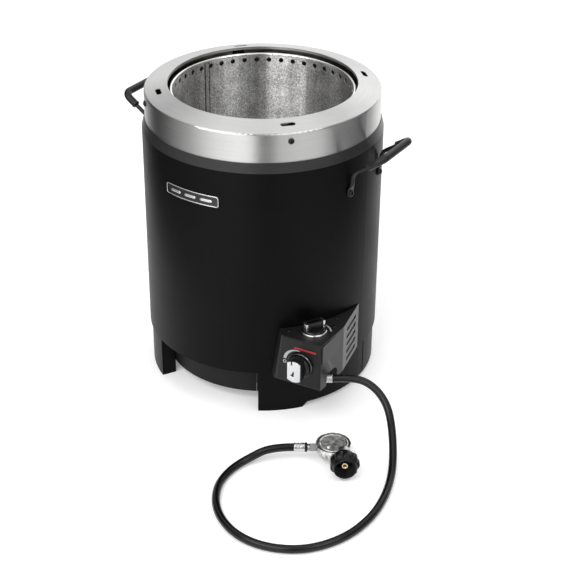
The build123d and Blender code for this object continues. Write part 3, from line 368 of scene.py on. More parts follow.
GRIP = moulded("grip_rubber", 0.008, 0.40, 1.2, 0.3)
HOSE = moulded("hose_rubber", 0.003, 0.22, 0.6, 0.3)
SEAL = moulded("seal_rubber", 0.02, 0.55)
LEAD = moulded("lead_rubber", 0.02, 0.5)
BADGE_DARK = moulded("badge_enamel", 0.008, 0.16, 0.3)
WHITE_INK = print_ink("white_print", (0.42, 0.42, 0.42))
RED_INK = print_ink("red_print", (0.36, 0.012, 0.018))
CERAMIC = moulded("glazed_ceramic", 0.75, 0.15, 0.3)
FLOOR = floor_paint()


# ---- Mesh helpers -------------------------------------------------------------------------
def link(name, data, material, body, replaces=()):
    """A new piece: object, material, body and the CAD nodes that it stands for."""
    piece = bpy.data.objects.new(name, data)
    scene.collection.objects.link(piece)
    piece.data.materials.clear()
    piece.data.materials.append(material)
    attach(piece, body)
    if replaces:
        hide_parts(*replaces)
    return piece


def smooth(mesh, angle=32.0):
    for polygon in mesh.polygons:
        polygon.use_smooth = True
    mesh.set_sharp_from_angle(angle=radians(angle))


def mesh_of(bm, name, angle=32.0):
    """Turns a bmesh into a shaded mesh with outward normals."""
    bmesh.ops.remove_doubles(bm, verts=bm.verts, dist=1e-6)
    bmesh.ops.recalc_face_normals(bm, faces=bm.faces)
    mesh = bpy.data.meshes.new(name)
    bm.to_mesh(mesh)
    bm.free()
    smooth(mesh, angle)
    return mesh


def joined(name, meshes, angle=35.0):
    """Several meshes as one."""
    bm = bmesh.new()
    for mesh in meshes:
        bm.from_mesh(mesh)
    return mesh_of(bm, name, angle)


def bridge(bm, rows, faces):
    """Joins each row of vertices to the next one with this many quads, round a loop or not."""
    for low, high in zip(rows, rows[1:]):
        for k in range(faces):
            j = (k + 1) % len(low)
            bm.faces.new((low[k], low[j], high[j], high[k]))


def eased(points, radius, steps=4, closed=True):
    """A polygon's corners rounded to a radius, or less where its sides are short."""
    out = []
    count = len(points)
    for i, point in enumerate(points):
        at = Vector(point)
        if not closed and i in (0, count - 1):
            out.append(at)
            continue
        before, after = Vector(points[i - 1]) - at, Vector(points[(i + 1) % count]) - at
        wedge = before.angle(after, pi)
        r = radius[i] if isinstance(radius, (list, tuple)) else radius
        if wedge > radians(172) or r <= 0:
            out.append(at)
            continue
        cut = min(r / tan(wedge / 2), 0.48 * before.length, 0.48 * after.length)
        start, end = at + before.normalized() * cut, at + after.normalized() * cut
        for k in range(steps + 1):
            t = k / steps
            out.append(start * (1 - t) ** 2 + at * 2 * t * (1 - t) + end * t**2)
    return out


def lathe(name, profile, steps=96, place=None, angle=32.0, closed=True):
    """A solid of revolution about the local Z axis from (radius, height) points in metres."""
    bm = bmesh.new()
    rings = []
    for point in profile:
        r, h = point[0], point[1]
        if r < 1e-7:
            rings.append([bm.verts.new((0, 0, h))])
        else:
            rings.append([
                bm.verts.new((r * cos(2 * pi * k / steps), r * sin(2 * pi * k / steps), h))
                for k in range(steps)
            ])
    pairs = list(zip(rings, rings[1:]))
    if closed:
        pairs.append((rings[-1], rings[0]))
    for low, high in pairs:
        for k in range(steps):
            j = (k + 1) % steps
            corners = [low[k % len(low)], low[j % len(low)], high[j % len(high)], high[k % len(high)]]
            unique = list(dict.fromkeys(corners))
            if len(unique) > 2:
                bm.faces.new(unique)
    if place is not None:
        bmesh.ops.transform(bm, matrix=place, verts=bm.verts)
    return mesh_of(bm, name, angle)


def plate(name, outline, depth, bevel, place, holes=(), steps=3, angle=40.0):
    """A flat plate with holes and eased edges, from its underside at z = 0 of its own frame."""
    curve = bpy.data.curves.new(name, "CURVE")
    curve.dimensions = "2D"
    curve.fill_mode = "BOTH"
    curve.extrude = max(depth / 2 - bevel, 1e-6)
    curve.bevel_depth = bevel
    curve.bevel_resolution = steps
    for loop in (outline, *holes):
        spline = curve.splines.new("POLY")
        spline.points.add(len(loop) - 1)
        for target, point in zip(spline.points, loop):
            target.co = (point[0], point[1], 0, 1)
        spline.use_cyclic_u = True
    curve.offset = -bevel
    holder = bpy.data.objects.new(name, curve)
    scene.collection.objects.link(holder)
    bpy.context.view_layer.update()
    mesh = bpy.data.meshes.new_from_object(holder)
    bpy.data.objects.remove(holder)
    mesh.transform(place @ Matrix.Translation((0, 0, depth / 2)))
    smooth(mesh, angle)
    return mesh


def millimetres(points):
    """Plane points in millimetres, as metres."""
    return [(a * MM, b * MM) for a, b in points]


def profile(*pairs):
    """Radius and height pairs in millimetres, as metres."""
    return millimetres(pairs)


def circle(radius, count=48, centre=(0.0, 0.0), start=0.0, turn=360.0):
    """Points round a circle, or along an arc of it."""
    last = count if turn >= 360 else count - 1
    return [
        (centre[0] + radius * cos(radians(start + turn * k / last)),
         centre[1] + radius * sin(radians(start + turn * k / last)))
        for k in range(count)
    ]


def box_outline(width, height, centre=(0.0, 0.0)):
    x, y = width / 2, height / 2
    return [(centre[0] + a * x, centre[1] + b * y) for a, b in ((-1, -1), (1, -1), (1, 1), (-1, 1))]


def axes(origin, x_dir, z_dir):
    """A local frame from an origin and two directions."""
    z = Vector(z_dir).normalized()
    x = (Vector(x_dir) - z * Vector(x_dir).dot(z)).normalized()
    y = z.cross(x)
    matrix = Matrix((x, y, z)).transposed().to_4x4()
    matrix.translation = Vector(origin)
    return matrix


def radial(angle, radius, z):
    """A frame that faces outward from the drum, its Y axis up."""
    a = radians(angle)
    return axes((radius * cos(a), radius * sin(a), z), (-sin(a), cos(a), 0), (cos(a), sin(a), 0))


def bevelled(node, width, body, material, angle=35.0, segments=2, tail="_finish"):
    """The CAD node's own shape with its edges eased, as sheet bends and mouldings are."""
    bm = bmesh.new()
    bm.from_mesh(frame["nodes"][node].data)
    bmesh.ops.remove_doubles(bm, verts=bm.verts, dist=2e-6)
    bmesh.ops.dissolve_limit(bm, angle_limit=radians(0.6), verts=bm.verts, edges=bm.edges)
    mesh = mesh_of(bm, node + tail, angle)
    piece = link(node + tail, mesh, material, body, (node,))
    modifier = piece.modifiers.new("edges", "BEVEL")
    modifier.width = width
    modifier.segments = segments
    modifier.limit_method = "ANGLE"
    modifier.angle_limit = radians(angle)
    modifier.harden_normals = True
    return piece


def rounded_route(points, radii, step=0.0015):
    """Points along straight runs joined by tangent arcs."""
    points = [Vector(p) for p in points]
    out = [points[0]]
    for i in range(1, len(points) - 1):
        at = points[i]
        back, ahead = (points[i - 1] - at).normalized(), (points[i + 1] - at).normalized()
        half = back.angle(ahead) / 2
        cut = radii[i - 1] / tan(half)
        centre = at + (back + ahead).normalized() * (radii[i - 1] / sin(half))
        start, end = at + back * cut - centre, at + ahead * cut - centre
        turn = start.angle(end)
        axis = start.cross(end).normalized()
        count = max(4, int(turn * radii[i - 1] / step))
        out += [centre + Matrix.Rotation(turn * k / count, 3, axis) @ start for k in range(count + 1)]
    out.append(points[-1])
    dense = [out[0]]
    for a, b in zip(out, out[1:]):
        count = max(1, int((b - a).length / (step * 1.6)))
        dense += [a.lerp(b, k / count) for k in range(1, count + 1)]
    return dense


def swept(name, line, section, first_side, ring=20, angle=40.0):
    """A tube along a line; section(s, length) gives half width, half thickness and a shift."""
    bm = bmesh.new()
    lengths = [0.0]
    for a, b in zip(line, line[1:]):
        lengths.append(lengths[-1] + (b - a).length)
    side = Vector(first_side)
    rings = []
    for i, point in enumerate(line):
        ahead = (line[min(i + 1, len(line) - 1)] - line[max(i - 1, 0)]).normalized()
        side = (side - ahead * side.dot(ahead)).normalized()
        up = ahead.cross(side)
        wide, thick, shift = section(lengths[i], lengths[-1])
        rings.append([
            bm.verts.new(point + shift + side * wide * cos(2 * pi * k / ring)
                         + up * thick * sin(2 * pi * k / ring))
            for k in range(ring)
        ])
    bridge(bm, rings, ring)
    bm.faces.new(rings[0][::-1])
    bm.faces.new(rings[-1])
    return mesh_of(bm, name, angle)


def dress(node, material):
    """Gives a CAD node that stays its finish."""
    data = frame["nodes"][node].data
    data.materials.clear()
    data.materials.append(material)
    smooth(data, 30.0)


# ---- Gas hose -----------------------------------------------------------------------------
HOSE_D = 13.2 * MM
HOSE_POINTS = [
    (0.2238, -0.1338, 0.090),
    (0.257, -0.1137, 0.0935),
    (0.291, -0.1085, 0.084),
    (0.321, -0.117, 0.063),
    (0.344, -0.142, 0.040),
    (0.366, -0.177, 0.021),
    (0.384, -0.214, 0.0085),
    (0.400, -0.265, 0.00665),
    (0.407, -0.323, 0.00665),
    (0.397, -0.385, 0.00665),
    (0.362, -0.441, 0.00665),
    (0.306, -0.470, 0.00665),
    (0.248, -0.469, 0.00665),
    (0.195, -0.438, 0.00665),
    (0.163, -0.389, 0.00665),
    (0.157, -0.341, 0.00665),
    (0.168, -0.302, 0.0095),
    (0.1925, -0.2741, 0.0235),
    (0.2246, -0.2533, 0.0235),
]


def add_hose():
    """The hose as one curve along its listed points."""
    curve = bpy.data.curves.new("gas_hose_line", "CURVE")
    curve.dimensions = "3D"
    curve.bevel_depth = HOSE_D / 2
    curve.bevel_resolution = 7
    curve.use_fill_caps = True
    spline = curve.splines.new("NURBS")
    spline.points.add(len(HOSE_POINTS) - 1)
    for target, point in zip(spline.points, HOSE_POINTS):
        target.co = (*point, 1.0)
    spline.order_u = 3
    spline.use_endpoint_u = True
    spline.resolution_u = 14
    return link("gas_hose_line", curve, HOSE, "root", ("gas_hose",))


hose = add_hose()


# ---- Regulator, ferrules and coupling nut -------------------------------------------------
REG_YAW = radians(33.0)
REG_U = Vector((cos(REG_YAW), sin(REG_YAW), 0.0))
REG_V = Vector((sin(REG_YAW), -cos(REG_YAW), 0.0))
REG_AT = Vector((0.2777, -0.2188, 0.0))
INLET_ALONG, INLET_Z = 0.016, 0.0250   # axis of the inlet boss, nose and nut
CRIMP_ALONG, CRIMP_Z = -0.0633, 0.0235  # end of the hose and its height


def reg_frame(along, out, z, axis):
    """A frame in the regulator's own directions, its Z axis along the given one."""
    x_dir = (0, 0, 1) if abs(axis.z) < 0.5 else REG_U
    return axes(REG_AT + REG_U * along + REG_V * out + Vector((0, 0, z)), x_dir, axis)


def add_hose_ends():
    """Crimped ferrules with rolled grooves, the dark band and the hexagon nipple."""
    exit_at, yaw = Vector((0.227, -0.132, 0.090)), radians(30.0)
    away = Vector((cos(yaw), sin(yaw), 0))
    place = axes(exit_at - away * 0.016, (0, 0, 1), away)
    box_end = eased(profile(
        (0, 0), (5.2, 0), (6.2, 1.0), (6.7, 2.6), (7.2, 3.4), (7.2, 5.0), (6.8, 5.5), (6.8, 6.1),
        (7.2, 6.6), (7.2, 8.2), (6.8, 8.7), (6.8, 9.3), (7.2, 9.8), (7.2, 12.0), (6.7, 12.8),
        (0, 12.8)
    ), 0.25 * MM, 2)
    link("box_ferrule", lathe("box_ferrule", box_end, 48, place), CRIMP, "root",
         ("hose_ferrule",))
    place = reg_frame(CRIMP_ALONG, 0, CRIMP_Z, REG_U)
    crimp = eased(profile(
        (0, -1.2), (6.7, -1.2), (7.4, -0.2), (7.4, 3.4), (6.9, 4.0), (6.9, 5.0), (7.4, 5.6),
        (7.4, 8.0), (6.9, 8.6), (6.9, 9.6), (7.4, 10.2), (7.4, 16.2), (7.0, 16.9), (0, 16.9)
    ), 0.25 * MM, 2)
    link("reg_ferrule", lathe("reg_ferrule", crimp, 48, place), CRIMP, "root",
         ("regulator_ferrule",))
    band = eased(profile((0, 16.9), (7.8, 16.9), (7.8, 20.9), (0, 20.9)), 0.7 * MM, 3)
    link("reg_band", lathe("reg_band", band, 48, place), HOSE, "root",
         ("hose_band",))
    shoulder = lathe("reg_nipple", eased(profile(
        (0, 20.9), (5.6, 20.9), (5.6, 24.4), (6.2, 25.0), (0, 25.0)), 0.3 * MM, 2), 40, place)
    hexagon = plate("hexagon", circle(7.2 * MM, 6), 10.6 * MM, 0.7 * MM,
                    place @ Matrix.Translation((0, 0, 25.0 * MM)))
    taper = lathe("taper", eased(profile(
        (0, 35.4), (6.0, 35.4), (6.6, 36.4), (7.4, 38.0), (7.4, 42.0), (0, 42.0)), 0.5 * MM, 3),
        40, place)
    link("reg_nipple", joined("reg_nipple", (shoulder, hexagon, taper), 38), NIPPLE, "root",
         ("regulator_nipple",))
    return [bpy.data.objects[n] for n in ("box_ferrule", "reg_ferrule", "reg_band", "reg_nipple")]


def add_regulator():
    """Die-cast body with its inlet boss, dished cover with its vent, and the gasket between."""
    place = reg_frame(0, 0, 0, Vector((0, 0, 1)))
    shape = eased(profile(
        (0, 8.6), (15, 8.6), (20.5, 9.4), (24.2, 12.2), (26.4, 16.0), (27.4, 20.5), (27.6, 25.2),
        (28.6, 25.6), (28.6, 26.4), (0, 26.4)
    ), 0.9 * MM, 3)
    body = lathe("body", shape, 96, place)
    boss_place = reg_frame(INLET_ALONG, 0, INLET_Z, REG_V)
    boss = lathe("boss", eased(profile(
        (0, 14), (11.5, 14), (11.5, 27.5), (10.6, 28.6), (10.6, 30.4), (0, 30.4)), 0.6 * MM, 3),
        64, boss_place)
    link("reg_body", joined("reg_body", (body, boss), 32), ZINC, "root",
         ("regulator_body",))
    dish = eased(profile(
        (0, 26.55), (28.8, 26.55), (28.8, 31.6), (28.4, 32.2), (27.8, 32.2), (27.5, 31.6),
        (27.3, 28.6), (24.7, 28.6), (24.5, 31.4), (24.0, 32.6), (23.0, 32.9), (21.9, 32.6),
        (21.0, 32.2), (12, 32.0), (0, 32.1)
    ), 0.5 * MM, 3)
    cover = lathe("cover", dish, 128, place)
    vent = lathe("vent", eased(profile(
        (0, 31.4), (3.4, 31.4), (3.3, 33.1), (2.7, 33.8), (1.3, 33.9), (1.1, 33.1), (0, 33.1)),
        0.3 * MM, 2), 32, place @ Matrix.Translation((-8 * MM, -10 * MM, 0)))
    link("reg_cover", joined("reg_cover", (cover, vent), 32), COVER, "root",
         ("regulator_cover",))
    ring = profile((24.75, 28.65), (27.25, 28.65), (27.25, 29.7), (24.75, 29.7))
    gasket = eased(ring, 0.3 * MM, 2)
    link("reg_gasket", lathe("reg_gasket", gasket, 96, place), SEAL, "root")
    return [bpy.data.objects[n] for n in ("reg_body", "reg_cover", "reg_gasket")]


def add_inlet():
    """Brass nose with its seal, and the lobed nut that spins round it."""
    place = reg_frame(INLET_ALONG, 0, INLET_Z, REG_V)
    nose = eased(profile(
        (0, 30.45), (8.4, 30.45), (8.4, 34.7), (11, 34.7), (11, 37.2), (10.4, 37.7), (6.9, 37.7),
        (6.9, 39.8), (6.5, 39.8), (6.5, 47.0), (6.2, 47.6), (6.0, 50.4), (5.6, 52.1), (4.8, 52.8),
        (3.2, 52.8), (2.4, 51.9), (1.8, 50.5), (1.8, 45), (0, 45)
    ), 0.35 * MM, 3)
    link("brass_nose", lathe("brass_nose", nose, 64, place), BRASS, "root",
         ("inlet_nose",))
    seal = eased(profile((6.95, 37.75), (9.4, 37.75), (9.4, 39.7), (6.95, 39.7)), 0.5 * MM, 3)
    link("nose_seal", lathe("nose_seal", seal, 48, place), SEAL, "root",
         ("inlet_seal",))
    steps, lobes, lobe_depth = 216, 9, 3.1 * MM
    bore, thread_depth, pitch, turns = 16.25, 0.85, 2.54, 9
    sleeve = profile(
        (8.6, 31.0), (16.8, 31.0), (18.0, 32.2), (18.0, 37.8), (19.4, 39.2), (22.8, 39.4),
        (24.0, 40.4), (24.3, 42.2), (24.3, 50.0), (23.7, 52.4), (22.2, 54.0), (20.4, 55.0),
        (19.3, 56.6), (18.9, 60.6), (18.4, 61.6), (17.8, 62.0), (16.9, 62.0), (bore, 61.3)
    )
    for k in range(turns):
        at, root = 59.6 - pitch * k, bore + thread_depth
        sleeve += profile((bore, at), (root, at - 0.5), (root, at - 1.1), (bore, at - 1.6))
    sleeve += profile((bore, 34.5), (8.6, 34.5))
    bm = bmesh.new()
    rings = []
    for r, h in sleeve:
        ring = []
        for k in range(steps):
            a = 2 * pi * k / steps
            lobe = 0.5 + 0.5 * cos(lobes * a - 1.5 * pi)
            share = lobe**0.45
            body = max(0.0, min(1.0, (r - 20.0 * MM) / (3.0 * MM)))
            reach = r - body * (1 - share) * lobe_depth
            ring.append(bm.verts.new((reach * cos(a), reach * sin(a), h)))
        rings.append(ring)
    bridge(bm, rings + rings[:1], steps)
    bmesh.ops.transform(bm, matrix=place, verts=bm.verts)
    link("lobed_nut", mesh_of(bm, "lobed_nut", 40), NUT, "coupling",
         ("coupling_nut",))
    return [bpy.data.objects[n] for n in ("brass_nose", "nose_seal", "lobed_nut")]


hose_pieces = add_hose_ends() + add_regulator() + add_inlet()


# ---- Drum ---------------------------------------------------------------------------------
dress("outer_shell", SHELL)
dress("shell_collar", COLLAR)
dress("base_ring", SHELL)
dress("leg_boxes", SHELL)
dress("bottom_pan", PAN)
dress("tray_front", PAN)
dress("top_ring", TOP)
dress("cooking_chamber", CHAMBER)
dress("ring_brackets", COLLAR)
dress("heat_jacket", mill_steel("sooted_steel", 0.10, 0.55, 0.3))
for node in ("drain_funnel", "chamber_brackets", "jacket_spacers", "tray_rails",
             "grease_tray", "burner_supports", "electrode_bracket", "electrode_tip"):
    dress(node, PLAIN)
for node in ("burner_ring", "venturi_tube"):
    dress(node, BURNER)
dress("handle_nuts", BLACK_STEEL)
dress("spark_electrode", CERAMIC)
dress("ignition_lead", LEAD)
dress("gas_valve", ZINC)
for node in ("gas_orifice", "hose_inlet", "valve_plug"):
    dress(node, BRASS)
for node in ("igniter_shaft", "valve_stem"):
    dress(node, CRIMP)
dress("igniter_body", KNOB)


def arc_strip(name, r0, r1, a0, a1, z0, z1, steps=8, angle=30.0):
    """A thin curved strip on a round wall."""
    bm = bmesh.new()
    rows = []
    for k in range(steps + 1):
        a = radians(a0 + (a1 - a0) * k / steps)
        rows.append([
            bm.verts.new((r * cos(a), r * sin(a), z))
            for r, z in ((r0, z0), (r1, z0), (r1, z1), (r0, z1))
        ])
    bridge(bm, rows, 4)
    bm.faces.new(rows[0][::-1])
    bm.faces.new(rows[-1])
    return mesh_of(bm, name, angle)


def add_chamber_details():
    """Lap seam of the rolled chamber with painted shadow lines at its edges, and the rolled rim."""
    seam, low, wall = 163.0, CHAMBER_FLOOR_Z + 0.0002, CHAMBER_R + 0.0001
    # Painted shadow: a dark steel strip under the lap, wider than it, shows as a shadow line along
    # each edge of the lap.
    painted_shadow_strip = arc_strip("seam_gap", CHAMBER_R - 0.00025, wall, seam - 2.1, seam + 2.1, low,
                    CHAMBER_TOP_Z - 0.001)
    link("seam_gap", painted_shadow_strip, SEAM_SHADOW_STEEL, "root")
    lap = arc_strip("seam_lap", CHAMBER_R - 0.0008, wall, seam - 1.3, seam + 1.3, low,
                    CHAMBER_TOP_Z - 0.0013)
    link("seam_lap", lap, CHAMBER, "root")
    rim = circle(RIM_BEAD, 24, (RIM_R, CHAMBER_TOP_Z))
    link("rolled_rim", lathe("rolled_rim", rim, 192), RIM, "root")


def add_base_seam():
    """The butt joint of the base's skirt, a thin dark line just behind the control box."""
    seam = arc_strip("base_seam", BASE_R - 0.0004, BASE_R + 0.00025, 4.75, 5.45, 0.0092, 0.0798, 2)
    link("base_seam", seam, SEAM_DARK, "root")


add_chamber_details()
add_base_seam()


def button_head(name, place, radius, height):
    """A domed screw head with a hexagon socket."""
    dome = [(0, 0.0), (radius, 0.0)]
    for k in range(9):
        t = radians(10 * k)
        dome.append((radius * (0.12 + 0.88 * cos(t)), height * (0.25 + 0.75 * sin(t))))
    socket = radius * 0.42
    dome = [p for p in dome if p[0] > socket or p[1] == 0.0]
    dome += [(socket, height * 0.97), (socket * 0.94, height * 0.35), (0, height * 0.25)]
    return lathe(name, dome, 36, place, 38)


def add_screws():
    """Button heads of the ring's, the handles' and the box's screws, each set as one piece."""
    eyes = (EYE_ANGLE, -EYE_ANGLE, 180 - EYE_ANGLE, 180 + EYE_ANGLE)
    sets = (
        ("ring_screw_heads", "top_ring_screws", 0.005, 0.0032,
         [radial(a, RING_R + 0.00002, RING_SCREW_Z) for a in QUARTERS]),
        ("handle_screw_heads", "handle_screws", 0.0052, 0.003,
         [radial(a, SHELL_R + 0.00345, EYE_Z) for a in eyes]),
        ("box_screw_heads", "box_screws", 0.0032, 0.002,
         [Matrix.Translation((x, y, BOX_TOP_Z)) for x, y in BOX_SCREWS]),
    )
    for name, node, radius, height, places in sets:
        heads = [button_head("head", place, radius, height) for place in places]
        link(name, joined(name, heads), BLACK_STEEL, "root", (node,))


add_screws()


# ---- Handles ------------------------------------------------------------------------------
def add_handles():
    """Bent rods that flatten into their eyes, with sleeved crossbars."""
    half, out, top = HANDLE_HALF, HANDLE_OUT, HANDLE_Z
    flat_w, flat_t = 0.007, 0.0016
    a = radians(EYE_ANGLE)
    inward = Vector((-cos(a), 0, 0)) * 0.0031

    def rod_section(s, length):
        """Flat and round-ended at the eyes, easing to the round rod."""
        s = min(s, length - s)
        end = min(1.0, s / flat_w)
        cap = sqrt(max(0.0, 1 - (1 - end) ** 2)) * 0.985 + 0.015
        t = max(0.0, min(1.0, (s - 0.0125) / 0.012))
        t = t * t * (3 - 2 * t)
        wide = (flat_w * (1 - t) + ROD_R * t) * cap
        thick = flat_t * (1 - t) + ROD_R * t
        return wide, thick, inward * (1 - t)

    corners = [
        (ROD_X, -half, EYE_Z - flat_w), (ROD_X, -half, ROD_BEND_Z), (out, -half, top),
        (out, half, top), (ROD_X, half, ROD_BEND_Z), (ROD_X, half, EYE_Z - flat_w),
    ]
    line = rounded_route(corners, [0.018, 0.013, 0.013, 0.018])
    rod = swept("rod", line, rod_section, (sin(a), cos(a), 0), 22)
    start, grip_r = 0.229, 0.00645
    start_z = ROD_BEND_Z + (top - ROD_BEND_Z) / (out - ROD_X) * (start - ROD_X)
    sleeve_line = rounded_route(
        [(start, -half, start_z), (out, -half, top), (out, half, top), (start, half, start_z)],
        [0.013, 0.013], 0.001
    )

    def sleeve_section(s, length):
        """A round sleeve with a small lip and an eased edge at each end."""
        s = min(s, length - s)
        lip = 0.0005 * (1 - max(0.0, min(1.0, (s - 0.003) / 0.0012)))
        ease = 0.0012 * max(0.0, 1 - s / 0.0011) ** 2
        r = grip_r + lip - ease
        return r, r, Vector((0, 0, 0))

    sleeve = swept("sleeve", sleeve_line, sleeve_section, (0, 0, 1), 28)
    for side, flip in (("right", 1), ("left", -1)):
        for label, source, material, slot, node in (
            ("rod", rod, HANDLE, "handle_paint", "handle_"),
            ("sleeve", sleeve, GRIP, "grip_rubber", "grip_"),
        ):
            mesh = source.copy()
            if flip < 0:
                mesh.transform(Matrix.Scale(-1, 4, (1, 0, 0)))
                mesh.flip_normals()
            link(f"{label}_{side}", mesh, material, "root", (node + side,))


add_handles()


# ---- Badge --------------------------------------------------------------------------------
BADGE_ANGLE, BADGE_Z = -92.0, 0.3965
BADGE_WIDTH, BADGE_HEIGHT, BADGE_CORNER = 0.104, 0.019, 0.005


def on_shell(x, y, lift):
    """A point of the badge: across, up, and out from the shell."""
    a = radians(BADGE_ANGLE) + x / SHELL_R
    return Vector(((SHELL_R + lift) * cos(a), (SHELL_R + lift) * sin(a), BADGE_Z + y))


def badge_field():
    """The dark field: a thin plate with rounded ends."""
    bm = bmesh.new()
    rows = []
    count = 72
    for k in range(count + 1):
        x = -BADGE_WIDTH / 2 + BADGE_WIDTH * (0.5 - 0.5 * cos(pi * k / count))
        reach = max(0.0, abs(x) - (BADGE_WIDTH / 2 - BADGE_CORNER))
        h = BADGE_HEIGHT / 2 - BADGE_CORNER + sqrt(max(0.0, BADGE_CORNER**2 - reach**2))
        edge = ((h, 0.00005), (h, 0.0010), (h * 0.94, 0.0012))
        rows.append([bm.verts.new(on_shell(x, -y, lift)) for y, lift in edge]
                    + [bm.verts.new(on_shell(x, y, lift)) for y, lift in reversed(edge)])
    bridge(bm, rows, 5)
    bm.faces.new(rows[0])
    bm.faces.new(rows[-1][::-1])
    return mesh_of(bm, "badge_field", 40)


def badge_border():
    """The raised border, a round bead along the outline, and three plain bars."""
    inset, bead_w, bead_h, sides = 0.0007, 0.00085, 0.0006, 10
    outline = eased(box_outline(BADGE_WIDTH - 2 * inset, BADGE_HEIGHT - 2 * inset),
                    BADGE_CORNER - inset, 6)
    dense = []
    for i, point in enumerate(outline):
        after = outline[(i + 1) % len(outline)]
        pieces = max(1, int((after - point).length / 0.002))
        dense += [point.lerp(after, k / pieces) for k in range(pieces)]
    bm = bmesh.new()
    rings = []
    for i, p in enumerate(dense):
        ahead = (dense[(i + 1) % len(dense)] - dense[i - 1]).normalized()
        side = Vector((-ahead.y, ahead.x))
        ring = []
        for k in range(sides):
            t = 2 * pi * k / sides
            q = p + side * bead_w * cos(t)
            ring.append(bm.verts.new(on_shell(q.x, q.y, 0.00095 + bead_h * sin(t))))
        rings.append(ring)
    bridge(bm, rings + rings[:1], sides)
    length, bar_half, steps = 0.022, 0.0024, 14
    for x in (-0.030, 0.0, 0.030):
        rows = []
        for k in range(steps + 1):
            q = x - length / 2 + length * k / steps
            end = max(0.0, (abs(q - x) - length / 2 + bar_half) / bar_half)
            h = bar_half * sqrt(max(0.04, 1 - end**2))
            rows.append([bm.verts.new(on_shell(q, y, lift)) for y, lift in (
                (-h, 0.0011), (-h * 0.7, 0.0016), (h * 0.7, 0.0016), (h, 0.0011))])
        bridge(bm, rows, 3)
    return mesh_of(bm, "badge_border", 50)


link("badge_field", badge_field(), BADGE_DARK, "root", ("badge_inlay",))
link("badge_border", badge_border(), SATIN_CHROME, "root", ("badge_plate",))


# ---- Control box --------------------------------------------------------------------------
FRONT_T = (BOX_FRONT_RIGHT - BOX_FRONT_LEFT).normalized()
FRONT_N = Vector((FRONT_T.y, -FRONT_T.x, 0.0))


def front(depth):
    """A frame on the front panel at the gas knob, this many millimetres out."""
    return axes(KNOB_AT + FRONT_N * depth * MM, FRONT_T, FRONT_N)


def igniter(height):
    """A frame on the box's top at the igniter, this many millimetres up."""
    yaw = radians(61.0)
    return axes(IGNITER_AT + Vector((0, 0, height * MM)), (cos(yaw), sin(yaw), 0), (0, 0, 1))


def add_box():
    """The folded box with eased bends, its slotted panel with pressed hoods, and the overlap."""
    bevelled("control_box", 0.9 * MM, "root", BOX)
    bevelled("louver_panel", 0.5 * MM, "root", LOUVRE)
    along = (BOX_REAR - BOX_BEND).normalized()
    outward = Vector((along.y, -along.x, 0))
    middle = BOX_BEND.lerp(BOX_REAR, 0.52)
    middle_z, pitch = 122.0, 14.8
    hoods = []
    for row in range(-2, 3):
        z = (middle_z + pitch * row) * MM
        spot = middle + Vector((0, 0, z)) - outward * 4.0 * MM
        tilt = Matrix.Rotation(radians(-25), 4, "X")
        place = axes(spot, along, outward) @ tilt
        outline = eased(millimetres(box_outline(45, 11, (3.5, 0))), 2.5 * MM, 3)
        hoods.append(plate("hood", outline, 0.8 * MM, 0.2 * MM, place))
    link("louver_hoods", joined("louver_hoods", hoods), LOUVRE, "root")
    side = axes((0.2195, -0.1285, 0.1485), (0, 1, 0), (1, 0.014, 0))
    upper = plate("upper_fold", eased(millimetres(box_outline(66.5, 33.5)), 0.8 * MM, 2), 0.7 * MM,
                  0.25 * MM, side)
    link("side_overlap", upper, BOX, "root")


add_box()


def add_fascia():
    """Film on the front face and its printed marks."""
    outline = eased(millimetres([(-44, -40), (34.5, -40), (35.5, 44.5), (-34.5, 44.5)]), 3 * MM, 5)
    link("fascia_film", plate("fascia_film", outline, 0.8 * MM, 0.25 * MM, front(0.05),
                              [circle(12 * MM, 48)]), FASCIA, "root",
         ("front_fascia",))
    arc = [(-32.0, 4.0), (-31.2, 8.2), (-29.6, 12.4), (-27.2, 16.2), (-24.0, 19.5), (-20.0, 22.3),
           (-15.4, 24.4), (-10.2, 25.6), (-6.0, 25.9), (-2.0, 25.6), (-2.2, 24.2), (-6.2, 24.2),
           (-10.2, 23.6), (-14.2, 22.0), (-17.6, 19.6), (-20.6, 16.8), (-23.4, 13.2), (-25.4, 9.2),
           (-26.4, 6.4), (-27.0, 4.0)]
    ink, ink_edge, on_film = 0.24 * MM, 0.06 * MM, front(0.87)
    marks = [plate("arc", eased(millimetres(arc), 0.4 * MM, 2), ink, ink_edge, on_film)]
    spot = (-29.5 * MM, -2 * MM)
    marks.append(plate("ring", circle(3.2 * MM, 32, spot), ink, ink_edge, on_film,
                       [circle(1.7 * MM, 24, spot)]))
    spot = Matrix.Translation((IGNITER_AT.x, IGNITER_AT.y, BOX_TOP_Z))
    outer = circle(29.6 * MM, 18, start=33, turn=42)
    inner = circle(27.2 * MM, 18, start=33, turn=42)[::-1]
    marks.append(plate("sweep", eased(outer + inner, 0.4 * MM, 2), ink, ink_edge, spot))
    link("print_white", joined("print_white", marks), WHITE_INK, "root",
         ("fascia_marks",))
    bar = eased(millimetres(box_outline(40, 3.6, (8, 29.3))), 1.0 * MM, 4)
    link("print_red", plate("print_red", bar, ink, ink_edge, on_film), RED_INK, "root",
         ("fascia_bar",))


add_fascia()


def bezel_profile():
    """The gas knob's ring, from its flat underside to its rounded lip."""
    return eased(profile(
        (9.2, 0), (23, 0), (23, 3.4), (22.3, 4.9), (21.4, 5.4), (20.75, 4.9), (20.5, 3.3),
        (20.4, 2.4), (9.2, 2.4)
    ), 0.45 * MM, 3)


def clipped_disc(radius, width, count=60):
    """A disc with two flat sides, as points anticlockwise."""
    half = width / 2
    limit = degrees(acos(half / radius))
    top = circle(radius, count // 2, start=limit, turn=180 - 2 * limit)
    low = circle(radius, count // 2, start=180 + limit, turn=180 - 2 * limit)
    return top + low


